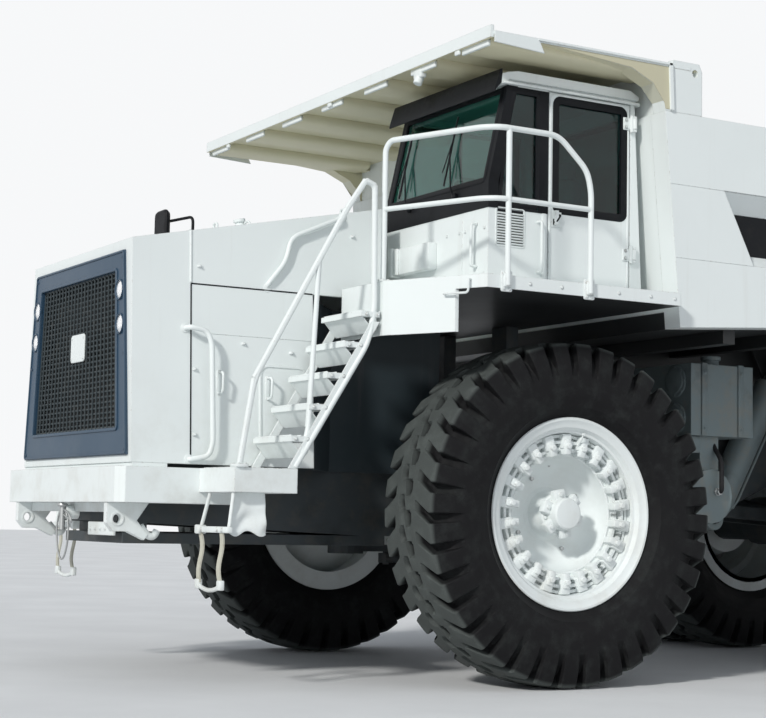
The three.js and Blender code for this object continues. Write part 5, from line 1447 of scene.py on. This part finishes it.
class TRUCK_OT_cab(bpy.types.Operator):
    """Window gaskets, dark band and pillars, visor, wipers, louvre, locker, hinges and handles of the cab"""
    bl_idname = "truck.cab"
    bl_label = "Cab outside"

    def execute(self, context):
        size = sizes()
        dark = Shape()
        dark.take(plate([(-0.742, 3.549), (0.742, 3.549), (0.742, 3.752), (-0.742, 3.752)],
            truck(1.422, -0.7795, 0), AHEAD, LEFT, 0.006, 0.001))
        outline = [(0.735, 3.76), (2.11, 3.76), (2.11, 4.462), (0.735, 4.462)]
        dark.take(strip([truck(x, cab_front(z), z) for x, z in outline], (0, -1, 0.22), size.gasket * 1.4,
            0.009, 0.03, 0.008))
        for x, out in ((2.167, 1), (0.677, -1)):
            rows = [[truck(px, cab_front(z) + dy, z) for px, dy in ((x - out * 0.075, -0.005),
                (x + out * 0.005, -0.005), (x + out * 0.005, 0.085), (x - out * 0.001, 0.085),
                (x - out * 0.001, 0.001), (x - out * 0.075, 0.001))] for z in (3.549, 3.752, 4.49)]
            dark.grid(rows)
        for y, z in (((-0.335, -0.246), (3.549, 4.486)), ((-0.7, -0.335), (3.549, 3.572)),
                ((-0.64, -0.335), (4.458, 4.486))):
            dark.take(boxed((2.164, 2.1715), y, z, 0.002))
        side = [(-0.69, 3.585), (-0.345, 3.585), (-0.345, 4.45), (-0.585, 4.45)]
        dark.take(strip([truck(2.167, y, z) for y, z in side], LEFT, size.gasket, 0.006, 0.03, 0.012))
        far = [(-0.69, 3.585), (0.475, 3.585), (0.475, 4.445), (-0.585, 4.445)]
        dark.take(strip([truck(0.677, y, z) for y, z in far[::-1]], RIGHT, size.gasket, 0.006, 0.05, 0.012))
        back = [(0.845, 3.665), (2.0, 3.665), (2.0, 4.385), (0.845, 4.385)]
        dark.take(strip([truck(x, 0.6, z) for x, z in back[::-1]], BEHIND, size.gasket, 0.006, 0.05, 0.012))
        piece("cab_window_gaskets", dark, "black trim", sharp=30)
        door = [(-0.176, 3.59), (0.478, 3.59), (0.478, 4.44), (-0.176, 4.44)]
        seal = strip([truck(2.1655, y, z) for y, z in door], LEFT, size.gasket * 2.0, 0.006, 0.05, 0.02)
        piece("door_window_gasket", seal, "black trim", "cab_door", 30)
        self.visor()
        self.wipers()
        self.front_boxes()
        self.door()
        return {"FINISHED"}

    def visor(self):
        """Dark peak along the roof's front edge, the gutter round the roof and the ribs on top of it."""
        section = [(-0.7, 4.492), (-0.745, 4.44), (-0.752, 4.418), (-0.76, 4.42), (-0.756, 4.448),
            (-0.712, 4.59), (-0.704, 4.598), (-0.69, 4.598)]
        rows = [[truck(x, y, z) for y, z in section] for x in np.linspace(0.655, 2.199, 3)]
        made = Shape().grid(rows)
        piece("cab_visor", made, "black trim")
        trim = Shape()
        gutter = [(0.657, -0.69), (2.197, -0.69), (2.197, 0.59), (0.657, 0.59)]
        path = [truck(x, y, 4.492) for x, y in gutter]
        section = np.array([(0, -0.004), (0.018, -0.004), (0.018, 0.016), (0.012, 0.016), (0.012, 0.004),
            (0, 0.004)])
        for start, end, out in ((path[1], path[2], LEFT), (path[3], path[0], RIGHT),
                (path[2], path[3], BEHIND)):
            rows = [np.asarray(p) + section[:, :1] * np.array(out) + section[:, 1:] * np.array([0, 0, 1.0])
                for p in (start, end)]
            trim.grid(rows)
        for x in np.linspace(0.8, 2.05, 6):
            trim.take(boxed((x - 0.018, x + 0.018), (-0.6, 0.52), (4.598, 4.612), 0.005))
        piece("cab_roof_trim", trim)

    def wipers(self):
        """Two wiper arms with blades that lie along the windscreen."""
        made = Shape()
        for x, lean in ((1.05, -0.16), (1.72, -0.16)):
            foot = truck(x, cab_front(3.7) - 0.012, 3.69)
            tip = truck(x + lean, cab_front(4.06) - 0.03, 4.06)
            made.take(lathe([(-0.02, 0), (-0.02, 0.028), (0.014, 0.028), (0.02, 0.018), (0.02, 0)], foot,
                    AHEAD, 20),
                tube([foot - [0, 0.012, 0], foot + [lean * 0.1, -0.03, 0.06], tip], 0.0065, 0.04, 8))
            low = truck(x + lean - 0.012, cab_front(3.8) - 0.016, 3.8)
            high = truck(x + lean - 0.012, cab_front(4.36) - 0.016, 4.36)
            made.take(tube([low, high], 0.0075, sides=8),
                tube([low + [0, -0.014, 0.1], high + [0, -0.014, -0.1]], 0.005, sides=6),
                tube([tip, tip + [-0.012, 0.014, 0]], 0.008, sides=8))
        piece("windscreen_wipers", made, "black trim", sharp=40)

    def front_boxes(self):
        """Locker and seam strip on the cab's front face, louvre on its side with a black plate behind its slats as
        painted shade in the openings, and the two grab handles.
        """
        made = Shape()
        # painted shade: a black plate behind the louvre slats stands in for the shade in the openings between them
        dark = boxed((2.1655, 2.1685), (-0.7, -0.47), (3.282, 3.546), 0.001)
        piece("louvre_gaps", dark, "black trim", sharp=30)
        made.take(boxed((0.876, 1.461), (-0.862, -0.779), (3.16, 3.372), 0.012),
            boxed((0.868, 0.93), (-0.88, -0.779), (3.15, 3.385), 0.01),
            boxed((0.985, 1.02), (-0.878, -0.86), (3.16, 3.372), 0.006),
            boxed((1.812, 1.826), (-0.786, -0.779), (2.985, 3.5), 0.003),
            boxed((0.7, 2.16), (-0.786, -0.779), (3.0, 3.018), 0.003),
            bolts([truck(x, -0.7815, z) for x in (1.6, 1.78, 1.86, 2.12) for z in (3.06, 3.4)], AHEAD, 0.009,
                0.006))
        for z in np.arange(3.3, 3.546, 0.0205):
            for y0, y1 in ((-0.7, -0.592), (-0.578, -0.47)):
                made.grid([[truck(2.166, y, z), truck(2.177, y, z - 0.005), truck(2.177, y, z - 0.012),
                    truck(2.166, y, z - 0.016)] for y in (y0, y1)])
        edge = [(-0.712, 3.27), (-0.458, 3.27), (-0.458, 3.556), (-0.712, 3.556)]
        made.take(strip([truck(2.167, y, z) for y, z in edge], LEFT, 0.012, 0.005, 0.02),
            boxed((2.166, 2.178), (-0.3, -0.262), (3.04, 3.55), 0.003),
            pipe([(2.166, -0.335, 3.1), (2.225, -0.335, 3.1), (2.225, -0.335, 3.48), (2.166, -0.335, 3.48)],
                0.012, 0.04, 10),
            pipe([(2.02, -0.783, 3.12), (2.02, -0.835, 3.12), (2.02, -0.835, 3.44), (2.02, -0.783, 3.44)],
                0.012, 0.04, 10))
        piece("cab_panels", made)

    def door(self):
        """Hinge straps with bolts, the folded edge and the handle of the cab door."""
        made = Shape()
        for z in (3.31, 4.34):
            made.take(boxed((2.166, 2.178), (0.462, 0.545), (z - 0.05, z + 0.05), 0.005),
                rod((2.186, 0.535, z - 0.068), (2.186, 0.535, z + 0.068), 0.014, 12),
                bolts([truck(2.178, 0.488, z + d) for d in (-0.028, 0.028)], LEFT, 0.009, 0.008))
        made.take(boxed((2.166, 2.174), (-0.215, -0.12), (3.455, 3.575), 0.004))
        outline = [(-0.225, 3.045), (0.515, 3.045), (0.515, 4.478), (-0.225, 4.478)]
        made.take(strip([truck(2.165, y, z) for y, z in outline], LEFT, 0.02, 0.007, 0.06))
        piece("door_hinges_and_edge", made, body="cab_door")
        handle = pipe([(2.172, -0.19, 3.49), (2.2, -0.19, 3.49), (2.2, -0.15, 3.545), (2.172, -0.145, 3.55)],
            0.01, 0.02, 10)
        handle.take(boxed((2.172, 2.19), (-0.2, -0.175), (3.47, 3.52), 0.005))
        piece("door_handle", handle, "black trim", "cab_door")


class TRUCK_OT_cab_inside(bpy.types.Operator):
    """Padded seat, steering wheel and column, dials, console and door posts inside the cab"""
    bl_idname = "truck.cab_inside"
    bl_label = "Cab inside"

    def execute(self, context):
        self.seat()
        column = joined(pipe([(1.5, -0.61, 3.3), (1.5, -0.415, 3.745)], 0.035, sides=16),
            lathe([(-0.05, 0), (-0.05, 0.07), (0.0, 0.075), (0.02, 0.055), (0.02, 0)],
                truck(1.5, -0.425, 3.73), (0, 0.42, 0.9), 24))
        a, b, n = basis((0, 0.42, 0.9))
        middle = truck(1.5, -0.4, 3.765)
        turn = np.linspace(0, TAU, 48, endpoint=False)
        ring = middle + 0.225 * (np.cos(turn)[:, None] * a + np.sin(turn)[:, None] * b)
        column.take(tube(ring, 0.016, sides=10, closed=True))
        for angle in (0.5, 2.64, 4.71):
            column.take(tube([middle - n * 0.02, middle + 0.222 * (math.cos(angle) * a + math.sin(angle)
                * b)], 0.013, sides=8))
        column.take(tube([middle - n * 0.09, middle - n * 0.08 + a * 0.13, middle - n * 0.05 + a * 0.2],
            0.008, 0.05, 8))
        piece("steering_wheel_and_column", column, "grip black", sharp=40)
        trim = Shape()
        for x in np.linspace(1.22, 1.78, 4):
            trim.take(lathe([(0, 0), (0, 0.048), (0.012, 0.048), (0.015, 0.042), (0.006, 0.038), (0.006, 0)],
                truck(x, -0.5, 3.8), (0, 0.7, 0.7), 24))
        trim.take(boxed((0.84, 1.1), (-0.16, 0.42), (3.04, 3.42), 0.03),
            pipe([(1.02, 0.0, 3.4), (1.02, -0.03, 3.62)], 0.012, sides=8),
            lathe([(0, 0), (0.01, 0.025), (0.035, 0.03), (0.06, 0.018), (0.065, 0)], truck(1.02, -0.03, 3.6),
                (0, -0.1, 1), 16))
        for x in (0.73, 2.07):
            trim.take(rod((x, -0.1, 3.1), (x, -0.1, 4.44), 0.012, 8))
        piece("cab_console_and_dials", trim, "grip black", sharp=40)
        return {"FINISHED"}

    def seat(self):
        """Cushion, back and headrest as padded shells, on a bellows column with armrests."""
        support = Shape()
        support.take(boxed((1.33, 1.67), (-0.06, 0.34), (3.042, 3.075), 0.01),
            lathe([(0, 0), (0, 0.13), (0.05, 0.1), (0.1, 0.13), (0.15, 0.1), (0.2, 0.13), (0.25, 0.1),
                (0.29, 0.13), (0.3, 0)], truck(1.5, 0.14, 3.07), UP, 28),
            boxed((1.27, 1.73), (-0.14, 0.38), (3.355, 3.385), 0.01))
        for x in (1.245, 1.755):
            support.take(pipe([(x, 0.33, 3.46), (x, 0.31, 3.62), (x, -0.04, 3.62)], 0.022, 0.05, 10))
        made = piece("seat_frame", support, "grip black", sharp=40)
        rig.replaces(made, "driver_seat")
        for name, low, high in (("seat_cushion", (1.255, -0.155, 3.385), (1.745, 0.345, 3.525)),
                ("seat_back", (1.27, 0.29, 3.5), (1.73, 0.41, 3.965)), ("seat_headrest",
                (1.365, 0.32, 3.965), (1.635, 0.42, 4.115))):
            cover = piece(name, pillow(truck(*low), truck(*high)), "seat vinyl", sharp=60)
            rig.padded(cover, 1.0)


def pillow(low, high, steps=10):
    """Swollen box: each unit direction of a cube is scaled to the box, and its corners are rounded by the
    sixth-power norm."""
    low, high = np.asarray(low, float), np.asarray(high, float)
    rise = np.linspace(-math.pi / 2, math.pi / 2, steps * 2 + 1)
    turn = np.arange(steps * 4) * TAU / (steps * 4)
    direction = np.stack([np.cos(rise)[:, None] * np.cos(turn), np.cos(rise)[:, None] * np.sin(turn),
        np.sin(rise)[:, None] * np.ones_like(turn)], -1)
    norm = (np.abs(direction) ** 6).sum(-1, keepdims=True) ** (1 / 6)
    return Shape().grid(direction / norm * (high - low) / 2 + (high + low) / 2)


# ---------------------------------------------------------------- dump body and canopy
class TRUCK_OT_body(bpy.types.Operator):
    """Pocket panels with black plates on their floors that are painted shade, weld seams, canopy corrugations in a
    cream that is painted shade, with end caps, and load wall strips of the dump body
    """
    bl_idname = "truck.body"
    bl_label = "Dump body"

    def execute(self, context):
        dark, slopes, seams = Shape(), Shape(), Shape()
        lip, wall = 2.452, 2.32
        for front, rear, lean in ((1.24, 2.7, 0.305), (2.85, 4.1, 0.0), (4.25, 5.5, 0.0)):
            edge = lambda z: front + 0.004 + lean * (3.85 - z) / 0.57
            low, high = 3.38, 3.7
            outline = [(edge(low) + 0.09, low), (rear - 0.09, low), (rear - 0.09, high),
                (edge(high) + 0.09, high)]
            # painted shade: a black plate on each pocket floor stands in for the shade deep in the pocket
            dark.take(plate([(y + AXLE_Y, z) for y, z in outline], (wall + 0.0005, 0, 0), LEFT, BEHIND,
                0.004, 0.001))
            ends = ((3.849, high), (3.281, low))
            for z, near in ends:
                slopes.grid([[truck(lip, y, z), truck(wall, y_near, near), truck(wall, y, z)]
                    for y, y_near in ((edge(z), edge(near) + 0.085), (rear - 0.001, rear - 0.086))])
            for at, inward in ((edge, 0.085), (lambda z: rear - 0.001, -0.085)):
                slopes.grid([[truck(lip, at(z), z), truck(wall, at(near) + inward, near),
                    truck(wall, at(z), z)] for z, near in ends])
        for z, y in ((3.85, 1.235), (3.28, 1.54)):
            seams.take(rod((2.46, 0.7 if z > 3.5 else 0.76, z), (2.46, y, z), 0.0028, 8))
        for y in (2.775, 4.175):
            seams.take(rod((2.46, y, 2.76), (2.46, y, 4.39), 0.0028, 8))
        piece("body_pocket_floors", both(dark), "black trim", "dump_body", 30)
        piece("body_pocket_slopes", both(slopes), body="dump_body", sharp=20)
        piece("body_weld_seams", both(seams), body="dump_body", sharp=40)
        self.canopy()
        self.floor()
        return {"FINISHED"}

    def canopy(self):
        """Hat-shaped corrugations under the canopy: a rounded section carried from front to back, in a cream that is
        painted shade. Each ends in a white cap under the lip, and a round lamp and small brackets hang from the lip.
        The side walls have pockets of a darker cream, painted shade as well, with white rims."""
        hats, caps = Shape(), Shape()
        turn = np.linspace(0, math.pi, 13)
        for x in np.linspace(-2.213, 2.213, 7):
            width = 0.185
            hat = [(x - width * np.sign(c) * abs(c) ** 0.5, 4.757 - 0.068 * s ** 0.6)
                for c, s in zip(np.cos(turn), np.sin(turn))]
            hat += [(x + width, 4.7575), (x - width, 4.7575)]
            rows = [[truck(px, y, pz) for px, pz in hat] for y in np.linspace(-0.93, 0.6, 4)]
            hats.grid(rows)
            caps.take(boxed((x - 0.18, x + 0.18), (-0.952, -0.928), (4.692, 4.738), 0.008))
        piece("canopy_corrugations", hats, "canopy cream", "dump_body")
        caps.take(boxed((1.34, 1.46), (-0.955, -0.9), (4.655, 4.737), 0.012))
        for x in (-2.0, 0.0, 2.0):
            caps.take(boxed((x - 0.03, x + 0.03), (-0.975, -0.955), (4.7, 4.736), 0.004))
        caps.take(lathe([(0, 0), (0, 0.036), (0.05, 0.036), (0.056, 0.03), (0.056, 0)],
            truck(1.4, -0.93, 4.66), (0, -0.4, -1), 20))
        piece("canopy_rib_caps", caps, body="dump_body")
        side = lambda outline, low, high: plate([(y + AXLE_Y, z) for y, z in outline], (low, 0, 0), LEFT,
            BEHIND, high - low, 0.001)
        pocket = [(-0.525, 4.758), (0.315, 4.699), (0.525, 4.609), (0.633, 4.474), (0.646, 4.425),
            (0.69, 4.425), (0.69, 4.758)]
        # painted shade: cream panels on the canopy's side walls where shade falls under the canopy's lip
        piece("canopy_side_pockets", both(side(pocket, 2.4605, 2.4635)), "pocket cream", "dump_body", 30)
        rims = joined(side([(-0.948, 4.702), (-0.505, 4.68), (-0.56, 4.786), (-0.948, 4.786)], 2.464, 2.474),
            side([(-0.56, 4.768), (0.7, 4.768), (0.7, 4.786), (-0.56, 4.786)], 2.464, 2.48),
            side([(0.686, 4.418), (0.722, 4.418), (0.706, 4.786), (0.672, 4.786)], 2.461, 2.48))
        piece("canopy_side_rims", both(rims), body="dump_body", sharp=30)

    def floor(self):
        """Upright wear strips on the front wall of the load space."""
        made = Shape()
        for x in np.linspace(-1.9, 1.9, 6):
            made.take(boxed((x - 0.04, x + 0.04), (0.915, 0.925), (2.95, 4.3), 0.003))
        piece("load_wall_strips", made, body="dump_body")


# ---------------------------------------------------------------- under the truck
class TRUCK_OT_underbody(bpy.types.Operator):
    """Tank covers, filler, straps and bands, hydraulic hoses with their fittings, and the rear lamps"""
    bl_idname = "truck.underbody"
    bl_label = "Under the truck"

    def execute(self, context):
        covers, hoses, fittings = Shape(), Shape(), Shape()
        for z in (2.445, 2.13):
            covers.take(lathe([(-0.004, 0), (-0.004, 0.135), (0.01, 0.135), (0.014, 0.128), (0.014, 0.112),
                (0.022, 0.106), (0.026, 0.09), (0.026, 0)], truck(1.3, 1.72, z), AHEAD, 48))
            turn = np.arange(8) * TAU / 8
            covers.take(bolts([truck(1.3 + 0.121 * math.cos(a), 1.708, z + 0.121 * math.sin(a))
                for a in turn], AHEAD, 0.008, 0.007))
        for y in (1.86, 2.26):
            covers.take(boxed((1.499, 1.512), (y - 0.03, y + 0.03), (1.985, 2.59), 0.004),
                boxed((0.74, 1.512), (y - 0.03, y + 0.03), (2.588, 2.6), 0.004),
                bolts([truck(1.511, y, z) for z in (2.05, 2.52)], LEFT, 0.011, 0.009))
        covers.take(lathe([(0, 0), (0, 0.07), (0.05, 0.07), (0.055, 0.085), (0.085, 0.085), (0.09, 0.07),
                (0.09, 0)], truck(1.35, 2.06, 2.585), UP, 28),
            boxed((1.3, 1.46), (1.7, 1.86), (1.84, 1.984), 0.01),
            boxed((1.34, 1.42), (1.66, 1.7), (1.87, 1.95), 0.008))
        for x in (1.02, 1.36):
            covers.take(lathe([(-0.02, 0.229), (-0.02, 0.237), (0.02, 0.237), (0.02, 0.229)],
                truck(x, 1.96, 1.48), LEFT, 40, closed=True))
        piece("tank_covers_and_straps", both(covers), "tank paint")
        hoses.take(pipe([(1.12, 1.722, 2.02), (1.12, 1.62, 2.0), (1.2, 1.6, 1.86), (1.36, 1.64, 1.84),
                (1.4, 1.74, 1.78), (1.3, 1.86, 1.7)], 0.026, 0.1, 12),
            pipe([(0.86, 1.722, 2.2), (0.86, 1.6, 2.16), (0.84, 1.4, 1.9), (0.7, 1.1, 1.72),
                (0.52, 0.9, 1.66)], 0.021, 0.12, 10),
            pipe([(1.481, 2.02, 1.52), (1.54, 2.02, 1.52), (1.54, 2.02, 1.78), (1.44, 2.02, 1.9),
                (1.4, 2.02, 1.984)], 0.02, 0.06, 10))
        for y in (0.42, 0.62):
            hoses.take(pipe([(0.96, y, 2.57), (0.96, y + 0.02, 2.3), (0.86, y + 0.08, 2.02),
                (0.62, y + 0.14, 1.9)], 0.019, 0.14, 10))
        piece("hydraulic_hoses", both(hoses), "hose", sharp=40)
        for place, axis in (((1.12, 1.715, 2.02), AHEAD), ((0.86, 1.715, 2.2), AHEAD),
                ((1.478, 2.02, 1.52), LEFT)):
            fittings.take(lathe([(0, 0), (0, 0.036), (0.02, 0.036), (0.022, 0.03), (0.05, 0.03),
                (0.052, 0.024), (0.052, 0)], truck(*place), axis, 6))
        fittings.take(rod((1.28, 1.72, 1.35), (1.28, 1.62, 1.3), 0.012, 8))
        piece("hose_fittings", both(fittings), "galvanised")
        self.rear()
        return {"FINISHED"}

    def rear(self):
        """Rear lamps on brackets that hang from the frame's last lugs, clear of the tipped body."""
        made, red, amber = Shape(), Shape(), Shape()
        made.take(boxed((0.33, 0.65), (5.46, 5.54), (1.6, 1.74), 0.012),
            boxed((0.44, 0.54), (5.45, 5.49), (1.7, 1.905), 0.006))
        for x, lens in ((0.41, red), (0.57, amber)):
            lens.take(lathe([(0, 0), (0, 0.055), (0.012, 0.055), (0.02, 0.04), (0.022, 0)],
                truck(x, 5.537, 1.67), BEHIND, 28))
        piece("rear_lamp_boxes", both(made), "black trim")
        piece("rear_stop_lenses", both(red), "red lens", sharp=40)
        piece("rear_turn_lenses", both(amber), "amber lens", sharp=40)


class TRUCK_OT_hoists(bpy.types.Operator):
    """Two-stage hoist cylinders: smooth barrels with glands and ports, sleeves and polished rods"""
    bl_idname = "truck.hoists"
    bl_label = "Hoists"

    def execute(self, context):
        foot, eye = np.array([2.55, 1.3]), np.array([3.35, 2.7])
        reach = np.linalg.norm(eye - foot)
        run = np.array([0, *(eye - foot) / reach])
        ring = lambda half, inner, outer: [(-half, inner), (-half, outer - 0.006), (-half + 0.006, outer),
            (half - 0.006, outer), (half, outer - 0.006), (half, inner)]
        for side, sign in SIDES:
            start, end = truck(sign * 0.79, *foot), truck(sign * 0.79, *eye)
            barrel = joined(lathe([(0.078, 0), (0.078, 0.075), (0.1, 0.118), (0.15, 0.133), (1.33, 0.133),
                    (1.338, 0.1345), (1.392, 0.1345), (1.399, 0.128), (1.399, 0.108), (0.3, 0.108),
                    (0.3, 0)], start, run, 48),
                lathe(ring(0.054, 0.047, 0.104), start, LEFT, 40, closed=True))
            port = np.cross(run, [1.0, 0, 0])
            for along in (0.22, 1.24):
                barrel.take(lathe([(0.12, 0), (0.12, 0.03), (0.15, 0.03), (0.156, 0.022), (0.175, 0.022),
                    (0.175, 0)], start + run * along, port, 20))
            barrel.take(tube([start + run * 0.22 + port * 0.17, start + run * 0.3 + port * 0.19,
                start + run * 1.16 + port * 0.19, start + run * 1.24 + port * 0.17], 0.013, 0.05, 10))
            made = piece(f"hoist_barrel_smooth_{side}", barrel, "tank paint", f"hoist_barrel_{side}")
            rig.replaces(made, f"hoist_barrel_{side}")
            sleeve = lathe([(0.242, 0), (0.242, 0.1), (0.25, 0.1035), (1.452, 0.1035), (1.459, 0.098),
                (1.459, 0.08), (0.4, 0.08), (0.4, 0)], start, run, 48)
            made = piece(f"hoist_sleeve_smooth_{side}", sleeve, "polished steel", f"hoist_sleeve_{side}")
            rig.replaces(made, f"hoist_sleeve_{side}")
            piston = joined(lathe([(0.312, 0), (0.312, 0.077), (reach - 0.1, 0.077), (reach - 0.085, 0.07),
                    (reach - 0.06, 0.05), (reach - 0.06, 0)], start, run, 48),
                lathe(ring(0.069, 0.046, 0.094), end, LEFT, 40, closed=True))
            made = piece(f"hoist_rod_smooth_{side}", piston, "polished steel", f"hoist_rod_{side}")
            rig.replaces(made, f"hoist_rod_{side}")
        return {"FINISHED"}


# ---------------------------------------------------------------- panel and registration
MAKERS = tuple(value for value in list(globals().values()) if isinstance(value, type)
    and issubclass(value, bpy.types.Operator) and value is not bpy.types.Operator)


class TRUCK_PT_panel(bpy.types.Panel):
    """Lists the settings and the pieces that can be made"""
    bl_idname = "TRUCK_PT_panel"
    bl_label = "Mining truck"
    bl_space_type = "VIEW_3D"
    bl_region_type = "UI"
    bl_category = "Truck"

    def draw(self, context):
        for group in (context.scene.truck_colours, context.scene.truck_sizes):
            box = self.layout.box()
            for key in type(group).__annotations__:
                box.prop(group, key)
        for maker in MAKERS:
            self.layout.operator(maker.bl_idname)


CLASSES = (TruckColours, TruckSizes, *MAKERS, TRUCK_PT_panel)


def register():
    """Registers the classes and hangs the settings on the scene."""
    for item in CLASSES:
        bpy.utils.register_class(item)
    bpy.types.Scene.truck_colours = bpy.props.PointerProperty(type=TruckColours)
    bpy.types.Scene.truck_sizes = bpy.props.PointerProperty(type=TruckSizes)


def unregister():
    """Takes the settings and the classes away again."""
    del bpy.types.Scene.truck_colours
    del bpy.types.Scene.truck_sizes
    for item in reversed(CLASSES):
        bpy.utils.unregister_class(item)


def main():
    """Makes every piece in order and writes the two boxes, the frame's and the finished model's."""
    register()
    for maker in MAKERS:
        family, name = maker.bl_idname.split(".")
        getattr(getattr(bpy.ops, family), name)()
    with open("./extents.json", "w") as file:
        json.dump({"cad": [list(corner) for corner in CAD_BOX],
            "visual": [list(corner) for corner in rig.bounds()]}, file)


if __name__ == "__main__":
    main()
